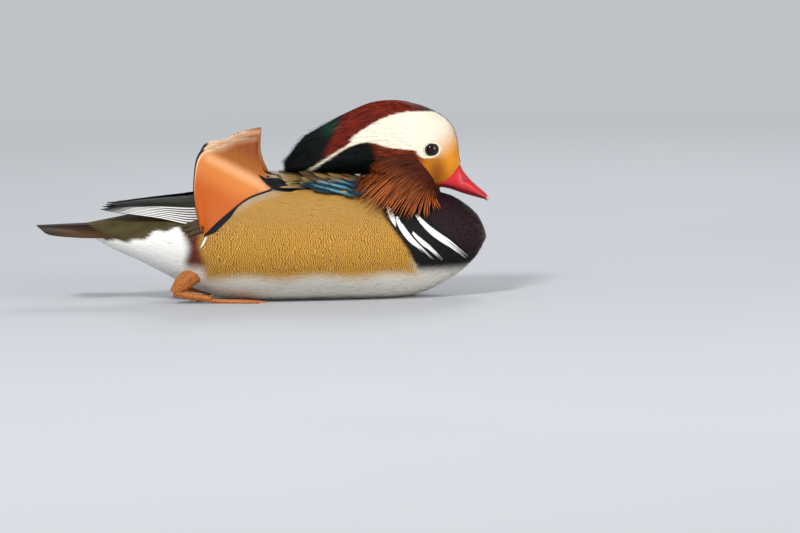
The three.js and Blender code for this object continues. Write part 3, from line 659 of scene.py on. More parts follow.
def body_coat(name, x_from, x_to):
    x, angle = scatter(BODY, x_from, x_to, 2.3, 1.75)
    roots = BODY.point(x, angle)
    bed = in_bed(roots, 0.5) > 0.5
    under_head = (roots[:, 0] > 94) & (roots[:, 0] < 134) & (roots[:, 2] > 84) & (np.abs(roots[:, 1]) < 24)
    below = roots[:, 2] < 3
    keep = ~bed & ~under_head & ~(below & (RNG.random(len(x)) < 0.5))
    x, angle = x[keep], angle[keep]
    rear = smooth(-60, -90, x)
    front = smooth(120, 165, x)
    length = 11 + 4 * rear - 5 * front + RNG.normal(0, 0.7, len(x))
    half = (1.5 + 0.35 * rear - 0.4 * front)[:, None] * taper(5, 0.8, 0.25)[None, :]
    lifts = np.array([-0.8, -0.35, -0.05, 0.1, 0.2])[None, :] + RNG.normal(0, 0.015, (len(x), 1))
    sway = RNG.normal(0, 0.012, (len(x), 1))
    path, normals = along_form(BODY, x, angle, length, lifts, sway)
    path[..., 2] = np.maximum(path[..., 2], 0.25)
    over_back = (path[..., 2] > flank_edge(path[..., 0]) + 0.6) & (path[..., 0] > -30) & (path[..., 0] < 84)
    at_foot = (np.abs(path[..., 0] + 46) < 7) & (np.abs(path[..., 2] - 63) < 8)
    keep = ~(over_back | at_foot).any(axis=1)
    x, angle, path, normals, half = x[keep], angle[keep], path[keep], normals[keep], half[keep]
    shown = np.clip(path, [-139, -80, -2], [175, 80, 120])
    behind_neck = (path[..., 0] < 92) & (path[..., 0] > -46)
    below_edge = np.minimum(shown[..., 2], flank_edge(shown[..., 0]) - 0.5)
    shown[..., 2] = np.where(behind_neck, below_edge, shown[..., 2])
    colours = blend(body_colour(shown), BACK_DARK, behind_sail(path))
    piece = vanes(name, path, normals, half, colours, places_on(BODY, x, angle), 0.05, 0.05, 0.12)
    points = vertex_places(piece)
    edge = smooth(1, -2, points[:, 0] - breast_edge_x(points[:, 2]))
    mark = edge * smooth(-50, -44, points[:, 0]) * smooth(18, 28, points[:, 2])
    low = smooth(86, 48, points[:, 2])
    set_float(piece.data, "mark_low", 0.85 * mark * low)
    set_float(piece.data, "mark_high", 0.5 * mark * (1 - low))
    return finish_piece(piece, flank_material(f"{name}_plumage"), "plumage_body")


def wavy_lines(tree, pitch, wiggle, sway):
    """Fine wavy lines across the body, one every pitch millimetres."""
    place = add_node(tree, "ShaderNodeTexCoord")
    split = add_node(tree, "ShaderNodeSeparateXYZ")
    tree.links.new(place.outputs["Object"], split.inputs[0])
    turns = math_node(tree, "MULTIPLY", split.outputs[0], 2 * math.pi / (pitch * MM))
    broad = math_node(tree, "MULTIPLY", noise(tree, 38.0, 0.0), sway)
    height = math_node(tree, "MULTIPLY", split.outputs[2], 2 * math.pi / (2.2 * pitch * MM))
    zigzag = math_node(tree, "MULTIPLY", math_node(tree, "SINE", height), 1.3)
    turns = math_node(tree, "ADD", turns, zigzag)
    small = math_node(tree, "MULTIPLY", noise(tree, 0.42 / (pitch * MM), 1.0), wiggle)
    phase = math_node(tree, "ADD", math_node(tree, "ADD", turns, broad), small)
    return math_node(tree, "SINE", phase)


def flank_material(name):
    material = feather_material(name, 0.62, 0.45, 0.08, specular=0.2, contrast=0.05)
    tree = material.node_tree
    shader = tree.nodes["Principled BSDF"]
    coarse = ramp(tree, wavy_lines(tree, 1.75, 13.0, 26.0), -0.2, 0.7)
    fine = ramp(tree, wavy_lines(tree, 1.2, 7.0, 26.0), 0.0, 0.8)
    low = math_node(tree, "MULTIPLY", coarse, attribute(tree, "mark_low").outputs["Fac"])
    high = math_node(tree, "MULTIPLY", fine, attribute(tree, "mark_high").outputs["Fac"])
    factor = math_node(tree, "MAXIMUM", low, high)
    link = shader.inputs["Base Color"].links[0]
    colour = mix_colour(tree, factor, link.from_socket, VERMICULATION)
    tree.links.new(colour, shader.inputs["Base Color"])
    return material


EYE = {"x": 131.7, "z": 115.0, "radius": 6.4, "proud": 1.5, "long": 4.6, "high": 3.9, "room": 1.25}
eye_side = float(HEAD.side(EYE["x"], EYE["z"]))


def eye_clear(points):
    """True where a tuft keeps off the eye's opening."""
    dx = (points[..., 0] - EYE["x"]) / (EYE["long"] * EYE["room"])
    dz = (points[..., 2] - EYE["z"]) / (EYE["high"] * EYE["room"])
    return np.hypot(dx, dz) > 1


def face_coat():
    x, angle = scatter(HEAD, 88, 154.2, 1.35, 1.25)
    roots = HEAD.point(x, angle)
    length = 5.5 - 2.6 * smooth(120, 150, x) + RNG.normal(0, 0.4, len(x))
    lifts = np.array([-0.65, -0.25, 0.02, 0.12])[None, :] + RNG.normal(0, 0.02, (len(x), 1))
    path, normals = along_form(HEAD, x, angle, length, lifts)
    keep = eye_clear(path).all(axis=1) & (roots[:, 2] > 86)
    bill = (roots[:, 0] > 147) & (roots[:, 2] < 97 + 1.1 * (roots[:, 0] - 150))
    keep &= ~bill
    x, angle, path, normals = x[keep], angle[keep], path[keep], normals[keep]
    half = (0.85 - 0.25 * smooth(125, 150, x))[:, None] * taper(4, 0.7, 0.2)[None, :]
    piece = vanes("face_feathers", path, normals, half, head_colour(path), places_on(HEAD, x, angle),
                  0.04, 0.06, 0.1)
    material = feather_material("face_plumage", 0.6, 0.5, 0.08, specular=0.2, contrast=0.1)
    return finish_piece(piece, material, "plumage_head")


def crest_coat():
    x, angle = scatter(HEAD, 24, 122, 2.0, 1.15)
    fray = smooth(75, 28, x)
    length = 15 + 9 * smooth(90, 40, x) + RNG.normal(0, 1.8, len(x))
    length = np.minimum(length, x - 18.2 - 10 * RNG.random(len(x)) ** 1.6 * fray)
    length = np.maximum(length, 5)
    hang = smooth(-0.2, -0.8, np.sin(angle)) * smooth(26, 40, x) * smooth(112, 95, x)
    lifts = np.array([-0.7, 0.0, 0.3, 0.45, 0.55, 0.62])[None, :] + RNG.normal(0, 0.06, (len(x), 1))
    t = np.linspace(0, 1, 6)[None, :]
    lifts = lifts + fray[:, None] * t ** 2 * 1.6 * RNG.random((len(x), 1)) ** 2
    lifts = lifts + hang[:, None] * t * (1 + 2.4 * RNG.random((len(x), 1)))
    sway = RNG.normal(0, 0.06, (len(x), 1))
    path, normals = along_form(HEAD, x, angle, length, lifts, sway)
    half = (0.62 - 0.2 * fray)[:, None] * taper(6, 0.7, 0.08)[None, :]
    colours = head_colour(path)
    dark = smooth(0.5, 0.2, colours.mean(axis=-1))
    uneven = 1 + 1.3 * (RNG.random((len(x), 1)) - 0.55) * dark
    piece = vanes("crest_feathers", path, normals, half, colours * uneven[..., None],
                  places_on(HEAD, x, angle), 0.08, 0.15, 0.45)
    material = feather_material("crest_plumage", 0.5, 0.9, 0.12, specular=0.08, contrast=0.2)
    return finish_piece(piece, material, "plumage_crest", "crest")


def crest_wisps():
    """Thin loose strands that fray the rear outline of the crest."""
    count, stations = 620, 6
    x = 27 + 62 * RNG.random(count) ** 1.4
    angle = np.radians(-50 + 280 * RNG.random(count))
    t = np.linspace(0, 1, stations)[None, :]
    length = np.minimum(10 + 8 * RNG.random(count), x - 17.6 - 1.5 * RNG.random(count))
    flare = (0.6 + 2.8 * RNG.random((count, 1)) ** 1.5) * smooth(95, 45, x)[:, None]
    lifts = -0.4 + 0.8 * np.minimum(t * 3, 1) + flare * t ** 2
    path, normals = along_form(HEAD, x, angle, length, lifts, RNG.normal(0, 0.08, (count, 1)))
    half = 0.26 * taper(stations, 0.9, 0.1)[None, :]
    piece = vanes("crest_wisps", path, normals, half, head_colour(path), places_on(HEAD, x, angle),
                  0.08, 0.1, 0.4)
    material = feather_material("wisp_plumage", 0.55, 0.9, 0.4, specular=0.15)
    return finish_piece(piece, material, "plumage_crest")


# Ruff

ruff_root_x = line((0, 118), (0.2, 123), (0.6, 131), (1, 136))
ruff_root_z = line((0, 111), (1, 85))
ruff_tip_x = line((0, 73), (0.2, 71.5), (0.4, 83.6), (0.6, 98), (0.75, 111), (0.88, 125), (1, 140))
ruff_tip_z = line((0, 91), (0.2, 80), (0.4, 70), (0.6, 64.4), (0.75, 62.8), (0.88, 63.4), (1, 70))
RUFF = {"swell": 3.5, "clear": 3.6, "front": 19}
RUFF_COLOURS = {"root": rgb("4c1707"), "tip": rgb("c96a2a"), "rear": rgb("5a1d0a")}


def ruff_point(q, s, lift=0.0):
    """A place on the right ruff: q from the rear hackle to the front one, s from root to tip."""
    q, s, lift = np.broadcast_arrays(*(np.asarray(a, float) for a in (q, s, lift)))
    root_x, root_z = ruff_root_x(q), ruff_root_z(q)
    tip_x, tip_z = ruff_tip_x(q), ruff_tip_z(q)
    bend_x = root_x - 31 + 27 * q
    bend_z = root_z + 4 - 10 * q
    inner = HEAD.side(root_x, root_z) + 0.2
    outer = np.maximum(BODY.side(tip_x, tip_z) + RUFF["clear"], RUFF["front"])
    swell = RUFF["swell"] * np.sin(np.pi * np.minimum(s, 1))
    x = root_x * (1 - s) ** 2 + 2 * bend_x * s * (1 - s) + tip_x * s * s
    z = root_z * (1 - s) ** 2 + 2 * bend_z * s * (1 - s) + tip_z * s * s
    near = np.maximum(HEAD.side(x, z), BODY.side(x, z)) + 0.8
    free = inner + (outer - inner) * np.maximum(s, 0) ** 1.15 + swell
    share = smooth(-0.05, 0.4, q)
    y = near * (1 - share) + free * share + lift
    return np.stack([x, -y, z], axis=-1)


def ruff_normal(q, s):
    here = ruff_point(q, s)
    down = ruff_point(q, s + 0.03) - here
    around = ruff_point(q + 0.01, s) - here
    return unit(np.cross(down, around))


RUFF_TIERS = ((-0.03, 0.26, 0.6), (0.03, 0.36, 0.68), (0.1, 0.47, 0.76), (0.17, 0.58, 0.84),
              (0.25, 0.69, 0.92), (0.33, 0.8, 1.0), (0.42, 0.91, 1.0), (0.5, 1.0, 1.0))
RUFF_LINES = 42


def ruff_coat(side, word):
    """Hackles in tiers along lines that run from the cheek to the ruff's edge."""
    rng = np.random.default_rng(7)
    lines = (np.arange(RUFF_LINES) + 0.5 + rng.normal(0, 0.12, RUFF_LINES)) / RUFF_LINES
    reach = 1 + rng.normal(0, 0.03, RUFF_LINES)
    q, start, end, half = [], [], [], []
    for root, tip, width in RUFF_TIERS:
        q.append(np.clip(lines + rng.normal(0, 0.0012, RUFF_LINES), 0, 1))
        start.append(np.full(RUFF_LINES, root) + rng.normal(0, 0.012, RUFF_LINES))
        end.append(tip * reach + rng.normal(0, 0.012, RUFF_LINES))
        half.append(np.full(RUFF_LINES, width))
    q, start, end, half = (np.concatenate(a) for a in (q, start, end, half))
    stations = 9
    t = np.linspace(0, 1, stations)[None, :]
    s = start[:, None] + (end - start)[:, None] * t
    lift = np.interp(t, [0, 0.25, 0.7, 1], [-1.4, 0.0, 0.4, 0.8]) + rng.normal(0, 0.12, (len(q), 1))
    sweep = q[:, None] + 0.006 * rng.standard_normal((len(q), 1)) * t
    path = ruff_point(sweep, s, lift)
    normals = ruff_normal(sweep, s)
    width = half[:, None] * taper(stations, 0.6, 0.06, 2.6)[None, :]
    bright = rng.random(len(q))[:, None]
    glow = (0.35 + 0.65 * bright) * smooth(0.1, 0.95, s)
    colours = blend(RUFF_COLOURS["root"], RUFF_COLOURS["tip"], glow)
    colours = blend(colours, RUFF_COLOURS["rear"], 0.7 * smooth(0.34, 0.0, q)[:, None])
    path, normals = mirrored(side > 0, path, normals)
    places = np.stack([0.02 + 0.96 * q, 0.04 + 0.9 * np.clip(start, 0, 1)], axis=1)
    piece = vanes(f"ruff_hackles_{word}", path, normals, width, colours, places, 0.3, 0.15, 0.6)
    material = feather_material(f"ruff_plumage_{word}", 0.5, 0.8, 0.2, specular=0.12,
                                rim=("120302", 0.42, 0.66))
    return finish_piece(piece, material, "plumage_ruff", f"ruff_{word}")


def neck_coat():
    count = 1500
    t = RNG.random(count) * 1.05
    angle = RNG.random(count) * 2 * np.pi
    stations = 5
    run = np.linspace(0, 1, stations)[None, :]
    fall = t[:, None] - 0.2 * run
    lift = np.array([-0.8, 0.2, 0.6, 0.7, 0.6])[None, :]
    path = neck_point(fall, angle[:, None], lift)
    outward = path - neck_point(fall, angle[:, None], -1.0)
    half = 1.5 * taper(stations, 0.6, 0.25)[None, :]
    front = smooth(126, 134, path[..., 0])
    colours = blend(THROAT, BREAST, front)
    places = np.stack([0.02 + 0.96 * angle / (2 * np.pi), np.clip(t, 0.02, 0.98)], axis=1)
    piece = vanes("neck_feathers", path, unit(outward), half, colours, places, 0.1, 0.2)
    return finish_piece(piece, feather_material("neck_plumage", 0.6, 0.5, 0.3), "plumage_neck")


# Breast bars

def breast_bars():
    """Bundles of long white plumes laid over the black."""
    rng = np.random.default_rng(5)
    stations, plumes, marks = 14, 26, np.arange(60)
    t = np.linspace(0, 1, stations)
    paths, colours = [], []
    for side in (-1, 1):
        for bar in BARS:
            spine = through([[(x, z, 0) for x, z in bar["spine"]]], len(marks))[0]
            across = unit(np.cross(np.gradient(spine, axis=0), (0, 0, 1.0)))
            for i in range(plumes):
                first = 0.35 * rng.random() if i % 2 else 0.0
                last = 0.55 + 0.45 * rng.random()
                share = first + (last - first) * t
                offset = rng.uniform(-0.85, 0.85) * bar["half"](share)
                lift = 0.55 + 0.25 * rng.random() + 0.35 * t - 1.2 * (1 - t) ** 6
                at = share * marks[-1]
                x, z = (np.interp(at, marks, spine[:, k]) + offset * np.interp(at, marks, across[:, k])
                        for k in range(2))
                paths.append(np.stack([x, side * BODY.side(x, z, lift), z], axis=1))
                colours.append(WHITE * (1 - 0.22 * rng.random()))
    paths, colours = np.array(paths), np.array(colours)[:, None]
    halves = 0.55 * taper(stations, 0.5, 0.12, 3.0)[None, :]
    x, z = paths[..., 0], paths[..., 2]
    slope_x = BODY.side(x + 0.5, z) - BODY.side(x - 0.5, z)
    slope_z = BODY.side(x, z + 0.5) - BODY.side(x, z - 0.5)
    normals = unit(np.stack([-slope_x, np.sign(paths[..., 1]), -slope_z], axis=-1))
    places = np.stack([0.1 + 0.8 * np.linspace(0, 1, len(paths)), np.full(len(paths), 0.3)], axis=1)
    piece = vanes("breast_bar_feathers", paths, normals, halves, colours, places, 0.14, 0.15)
    return finish_piece(piece, feather_material("bar_plumage", 0.6, 0.5, 0.12, contrast=0.12), "plumage_body")


# Broad feathers: closed thin sheets with many points across

def sheets(name, grid, half, colours, run, off, places):
    """Closed thin sheets, where grid is (sheet, row, column, 3) and rows run from root to tip."""
    count, rows, columns = grid.shape[:3]
    normal = unit(np.cross(np.gradient(grid, axis=2), np.gradient(grid, axis=1)))
    half = np.broadcast_to(np.asarray(half, float), grid.shape[:3])[..., None]
    vertices = np.stack([grid + normal * half, grid - normal * half], axis=1)
    cells = (np.arange(rows - 1)[:, None] * columns + np.arange(columns - 1)[None, :]).ravel()
    top = np.stack([cells, cells + 1, cells + columns + 1, cells + columns], axis=1)
    under = top[:, ::-1] + rows * columns
    index = np.arange(rows * columns).reshape(rows, columns)
    rim = np.concatenate([index[0, :], index[1:, -1], index[-1, -2::-1], index[-2:0:-1, 0]])
    after = np.roll(rim, -1)
    low = rows * columns
    wall = np.stack([rim + low, after + low, after, rim], axis=1)
    faces = np.concatenate([top, under, wall])
    all_faces = (faces[None] + (np.arange(count) * 2 * rows * columns)[:, None, None]).reshape(-1, 4)
    facing = np.stack([normal, -normal], axis=1)
    return feather_mesh(name, vertices, [all_faces], colours[:, None], run[:, None], off[:, None], places,
                        facing)


def through(points, stations):
    """A smooth path through a few points: points is (feather, point, 3)."""
    points = np.asarray(points, float)
    marks = np.linspace(0, 1, points.shape[1])
    t = np.linspace(0, 1, stations)
    return np.stack([np.stack([line(*zip(marks, one[:, k]))(t) for k in range(3)], axis=-1)
                     for one in points])


def feather_grid(path, normals, half, columns, camber):
    """Points across each feather, with their way from its root and from its shaft."""
    side, up = feather_axes(path, normals)
    half = np.broadcast_to(half, path.shape[:2])
    share = np.linspace(-1, 1, columns)
    reach = half[..., None] * share
    grid = path[:, :, None, :] + side[:, :, None, :] * reach[..., None]
    grid = grid - up[:, :, None, :] * (camber * half[..., None] * share ** 2)[..., None]
    return grid, np.broadcast_to(run_along(path), reach.shape), reach


def rounded(stations, start, point, tip):
    """Half width along a broad feather as a share of its widest."""
    t = np.linspace(0, 1, stations)
    return np.maximum(np.minimum(start + (1 - start) * 2.5 * t, 1) * np.maximum(1 - t ** 5, 0) ** point, tip)


# Wings

PRIMARIES = 10
WHITE_EDGED = 7


def flight_feathers(side, word):
    share = np.linspace(0, 1, PRIMARIES)
    roots = []
    for i, s in enumerate(share):
        z = 64.5 + 22.5 * s
        first = [-26, -BODY.side(-26, z, -5.0), z]
        second = [-52, -(34.5 - 10.5 * s), 64.5 + 17 * s]
        third = [-78, -(25 - 9 * s), 68.5 + 11.5 * s]
        last = [-125.7 + 26 * s, -(14 - 6 * s), 73.5 + 4 * s]
        if i >= WHITE_EDGED:
            last = [-122 + 8 * (i - WHITE_EDGED), -9.4, 76.8 + 0.8 * (i - WHITE_EDGED)]
        roots.append([first, second, third, last])
    stations = 30
    path = through(roots, stations)
    t = np.linspace(0, 1, stations)
    lean = line((0, 0.72), (0.35, 0.55), (0.6, 0.46), (1, 0.3))(t)
    rise = line((0, 0.66), (0.35, 0.82), (0.6, 0.88), (1, 0.95))(t)
    normals = unit(np.stack([0 * t, -lean, rise], axis=-1))
    half = 4.6 * rounded(stations, 0.6, 0.6, 0.05)
    columns = 31
    across = np.linspace(-1, 1, columns)
    grid, run, off = feather_grid(path, normals, half, columns, 0.1)
    outward = across if grid[0, 5, -1, 2] < grid[0, 5, 0, 2] else -across
    colours = np.broadcast_to(rgb("0b0a09"), grid.shape).copy()
    for i in range(PRIMARIES):
        if i < WHITE_EDGED:
            edge = smooth(0.6, 0.64, outward) * smooth(0.95, 0.91, outward)
            colours[i] = blend(colours[i], WHITE, edge[None, :] * smooth(1.0, 0.85, t)[:, None])
        else:
            sheen = 0.5 * smooth(-0.4, 0.5, outward)[None, :] * smooth(0.9, 0.5, t)[:, None]
            colours[i] = blend(colours[i], rgb("3a4128"), sheen)
    if side > 0:
        grid, colours, off = other_side(grid, colours, off)
    places = np.stack([0.1 + 0.5 * share, 0.2 + 0.6 * share], axis=1)
    piece = sheets(f"flight_feathers_{word}", grid, 0.25, colours, run, off, places)
    material = feather_material(f"flight_plumage_{word}", 0.45, 0.6, 0.12, specular=0.25, contrast=0.15)
    return finish_piece(piece, material, "plumage_wing", f"wing_{word}")


def wing_coverts(side, word):
    rng = np.random.default_rng(11)
    xs, angles = [], []
    for index, x in enumerate(np.arange(88, -74, -4.2)):
        count = 15
        marks = (np.arange(count) + 0.5 * (index % 2) + rng.normal(0, 0.12, count)) / count
        angles.append(np.radians(18 + 71 * marks))
        xs.append(np.full(count, x) + rng.normal(0, 0.6, count))
    x, angle = np.concatenate(xs), np.concatenate(angles)
    length = 15 + rng.normal(0, 1, len(x))
    lifts = np.array([-5.0, -4.0, -3.6, -3.4, -3.3, -3.5])[None, :] + rng.normal(0, 0.1, (len(x), 1))
    path, normals = along_form(BODY, x, angle, length, lifts)
    inside = (path[..., 2] > flank_edge(path[..., 0]) + 0.6).all(axis=1) & (path[:, -1, 0] > -88)
    x, angle, path, normals = x[inside], angle[inside], path[inside], normals[inside]
    half = 3.6 * taper(6, 0.6, 0.3)[None, :]
    colours = blend(rgb("1c1915"), rgb("3a3a26"), 0.7 * rng.random(len(x))[:, None])
    path, normals = mirrored(side < 0, path, normals)
    piece = vanes(f"wing_coverts_{word}", path, normals, half, colours, places_on(BODY, x, angle), 0.15, 0.2)
    material = feather_material(f"covert_plumage_{word}", 0.45, 0.6, 0.3, specular=0.4)
    return finish_piece(piece, material, "plumage_wing")


# Feathers over the back

def scapular_feathers(side, word):
    rng = np.random.default_rng(23)
    rows = [(88, 26, 5, 4.6), (78, 27, 6, 5.0), (67, 28, 6, 5.2), (56, 28, 6, 5.4), (45, 30, 6, 5.6),
            (36, 32, 6, 5.8)]
    roots, angles, lengths, halves, rises = [], [], [], [], []
    for index, (x, length, count, half) in enumerate(rows):
        low = 40 + 3 * index
        for i in range(count):
            roots.append(x + rng.normal(0, 1.5))
            angles.append(np.radians(low + (86 - low) * (i + 0.5 * (index % 2) + 0.25) / count))
            lengths.append(length + rng.normal(0, 1.5))
            halves.append(half)
            rises.append(0.9 + 0.25 * index)
    x, angle = np.array(roots), np.array(angles)
    stations, columns = 16, 9
    t = np.linspace(0, 1, stations)
    lift = np.interp(t, [0, 0.3, 0.75, 1], [-3.4, -1.2, 0.1, 1.0])[None, :] * np.array(rises)[:, None]
    path, normals = along_form(BODY, x, angle, np.array(lengths), np.minimum(lift, 2.0))
    half = np.array(halves)[:, None] * rounded(stations, 0.5, 0.5, 0.1)[None, :]
    across = np.linspace(-1, 1, columns)
    grid, run, off = feather_grid(path, normals, half, columns, 0.16)
    flank = flank_edge(grid[..., 0]) + 0.3
    grid[..., 2] = np.where(grid[..., 2] < flank, 0.3 * grid[..., 2] + 0.7 * flank, grid[..., 2])
    pale = 0.9 * rng.random((len(x), 1, 1)) * smooth(0.1, 0.8, t)[None, :, None]
    colours = blend(rgb("43341b"), rgb("9a7a45"), pale)
    colours = blend(colours, rgb("241a10"), 0.8 * smooth(0.7, 1.0, np.abs(across)))
    px, pz = grid[..., 0], grid[..., 2]
    blue = smooth(26, 34, px) * smooth(92, 74, px) * smooth(94.5, 91, pz)
    streak = smooth(0.0, 1.0, np.sin(px * 0.45 + pz * 1.7))
    colours = blend(colours, rgb("0b2b38"), blue)
    glint = smooth(36, 46, px) * smooth(74, 60, px)
    colours = blend(colours, rgb("6fa6b4"), 0.8 * blue * streak * glint)
    if side < 0:
        grid, colours, off = other_side(grid, colours, off)
    piece = sheets(f"scapular_feathers_{word}", grid, 0.25, colours, run, off, places_on(BODY, x, angle))
    material = feather_material(f"scapular_plumage_{word}", 0.42, 0.7, 0.3, specular=0.3)
    return finish_piece(piece, material, "plumage_back", f"scapulars_{word}")


def tertial_feathers(side, word):
    """Long dark pointed feathers that reach from the back to the foot of the sail."""
    roots = []
    for x, z, tip, high in ((38, 89, -4, 101), (36, 91, -1, 97.5), (33, 92.5, 1.5, 96.5)):
        roots.append([[x, BODY.side(x, z, -1.2), z], [x - 15, BODY.side(x - 15, z - 1, 0.8), z - 1],
                      [0.35 * x + 0.65 * tip, BODY.side(8, z - 1, 1.6), z + 1.5],
                      [tip, BODY.side(8, 89, 1.0) + 1.6, high]])
    stations = 20
    path = through(roots, stations)
    normals = unit(np.array([-0.1, 0.75, 0.66]))
    half = 2.9 * rounded(stations, 0.5, 0.9, 0.03)
    grid, run, off = feather_grid(path, normals, half, 9, 0.15)
    colours = np.broadcast_to(rgb("080607"), grid.shape)
    if side < 0:
        grid, colours, off = other_side(grid, colours, off)
    places = np.stack([np.linspace(0.5, 0.6, 3), np.linspace(0.3, 0.4, 3)], axis=1)
    piece = sheets(f"tertials_{word}", grid, 0.25, colours, run, off, places)
    material = feather_material(f"tertial_plumage_{word}", 0.5, 0.6, 0.1, specular=0.15, contrast=0.1)
    return finish_piece(piece, material, "plumage_back")


def secondary_tips(side, word):
    """Olive ends of the closed wing that show behind the foot of the sail."""
    roots = []
    for z, drop, tip in ((63, 2.5, -62), (60, 3, -60), (57, 3.5, -57)):
        roots.append([[-40, BODY.side(-40, z, -1.5), z + 1], [-50, BODY.side(-50, z - 1, -0.3), z],
                      [tip, BODY.side(tip, z - drop, 0.5), z - drop]])
    stations = 16
    path = through(roots, stations)
    normals = unit(np.array([-0.25, 0.9, 0.35]))
    half = 2.6 * rounded(stations, 0.6, 0.6, 0.06)
    columns = 9
    grid, run, off = feather_grid(path, normals, half, columns, 0.12)
    outer = smooth(0.0, 0.9, np.linspace(-1, 1, columns))
    colours = blend(rgb("4a3c1e"), rgb("0d0a08"), outer[None, None, :])
    if side < 0:
        grid, colours, off = other_side(grid, colours, off)
    places = np.stack([np.linspace(0.3, 0.4, 3), np.linspace(0.3, 0.4, 3)], axis=1)
    piece = sheets(f"secondaries_{word}", grid, 0.25, colours, run, off, places)
    material = feather_material(f"secondary_plumage_{word}", 0.5, 0.6, 0.2, specular=0.25)
    return finish_piece(piece, material, "plumage_wing")


# Sails

sail_shaft_x = line((0, 8), (0.35, -9), (0.7, -28), (1, -45))
sail_shaft_z = line((0, 88), (0.35, 82.5), (0.7, 69), (1, 54))
sail_edge_x = line((0, -2), (0.3, -19), (0.5, -31), (0.62, -43), (0.76, -50), (0.88, -52.5), (1, -48))
sail_edge_y = line((0, 47), (0.3, 41), (0.62, 37), (0.88, 42), (1, 46))
sail_edge_z = line((0, 130), (0.3, 128), (0.5, 122.5), (0.62, 121), (0.76, 112), (0.88, 88), (1, 58))


def sail_point(u, share):
    u, share = np.broadcast_arrays(np.asarray(u, float), np.asarray(share, float))
    x, z = sail_shaft_x(u), sail_shaft_z(u)
    base = np.stack([x, BODY.side(x, z) + 0.5, z], axis=-1)
    edge = np.stack([sail_edge_x(u), sail_edge_y(u), sail_edge_z(u)], axis=-1)
    up = np.maximum(share, 0)
    point = base + (edge - base) * up[..., None]
    point[..., 0] -= 4.2 * np.sin(np.pi * up ** 1.3) * (1 - u) ** 5
    point[..., 1] -= 4 * np.sin(np.pi * up) - 0.18 * np.sin(u * 46 + 3 * up) * up
    sink = np.maximum(-share, 0) * 4.2
    point[..., 1] -= sink
    point[..., 2] -= sink
    return point


# Painted light on the sail: upper and top are painted shade where the web bends away from the light, front is
# a lighter painted band just below the fold, and the fold itself carries a painted highlight.
SAIL = {
    "web": rgb("b9560c"), "upper": rgb("a86028"), "top": rgb("a0562a"), "front": rgb("cf7a35"),
    "crease_highlight": rgb("f0b27c"), "fringe": rgb("efe2cf"), "inside_fringe": rgb("d9a981"),
    "inner": rgb("f3d3a4"), "outer": rgb("070812"),
}


def sail_colour(point, u, share):
    """Colours of the sail by its side view: a pale painted highlight runs down along the fold from the upper
    rear corner, with painted shade above it and a lighter painted band below it.
    """
    x, z = point[..., 0], point[..., 2]
    above = (z - (117 - 0.55 * (x + 46))) / 1.14
    # painted shade: the web darkens above the fold, where it turns away from the light
    colour = blend(SAIL["web"], SAIL["upper"], smooth(-4, 9, above))
    colour = blend(colour, SAIL["top"], smooth(8, 20, above))
    # painted light: a lighter band just below the fold, where the web faces the light
    colour = blend(colour, SAIL["front"], smooth(-26, -6, above) * smooth(2, -4, above))
    # painted highlight along the fold
    crease_highlight = smooth(7.5, 0, np.abs(above)) * smooth(-52, -38, x)
    colour = blend(colour, SAIL["crease_highlight"], 0.75 * crease_highlight)
    fringe = smooth(0.95, 0.99, share) * smooth(0.68, 0.6, u)
    colour = blend(colour, SAIL["fringe"], fringe * smooth(0.02, 0.25, u))
    colour = blend(colour, SAIL["inside_fringe"], 0.5 * smooth(0.85, 0.95, share) * smooth(0.66, 0.58, u))
    inner = smooth(0.52, 0.6, u) * smooth(0.92, 0.94, share) * smooth(0.965, 0.95, share)
    colour = blend(colour, SAIL["inner"], 0.85 * inner * smooth(0.98, 0.75, u))
    outer = smooth(0.955, 0.968, share) * smooth(0.61, 0.66, u)
    return blend(colour, SAIL["outer"], outer)


def sail(side, word):
    rows, columns = 110, 60
    u = np.linspace(0, 1, rows)[:, None] * np.ones((1, columns))
    share = np.concatenate([[-1.0], np.linspace(0, 1, columns - 1)])[None, :] * np.ones((rows, 1))
    point = sail_point(u, share)
    colours = sail_colour(point, u, share)
    run = u * 75 + 6 * share
    half = 0.34 - 0.2 * smooth(0.7, 1, share)
    grid = point[None]
    if side < 0:
        grid = grid * MIRROR
    else:
        grid, colours, half, run = grid[:, :, ::-1], colours[:, ::-1], half[:, ::-1], run[:, ::-1]
    piece = sheets(f"sail_vane_{word}", grid, half[None], colours[None], run[None], 0 * run[None],
                   np.array([[0.5, 0.9]]))
    material = feather_material(f"sail_plumage_{word}", 0.5, 0.8, 0.0, specular=0.25, contrast=0.14)
    return finish_piece(piece, material, "plumage_sail", f"sail_{word}")


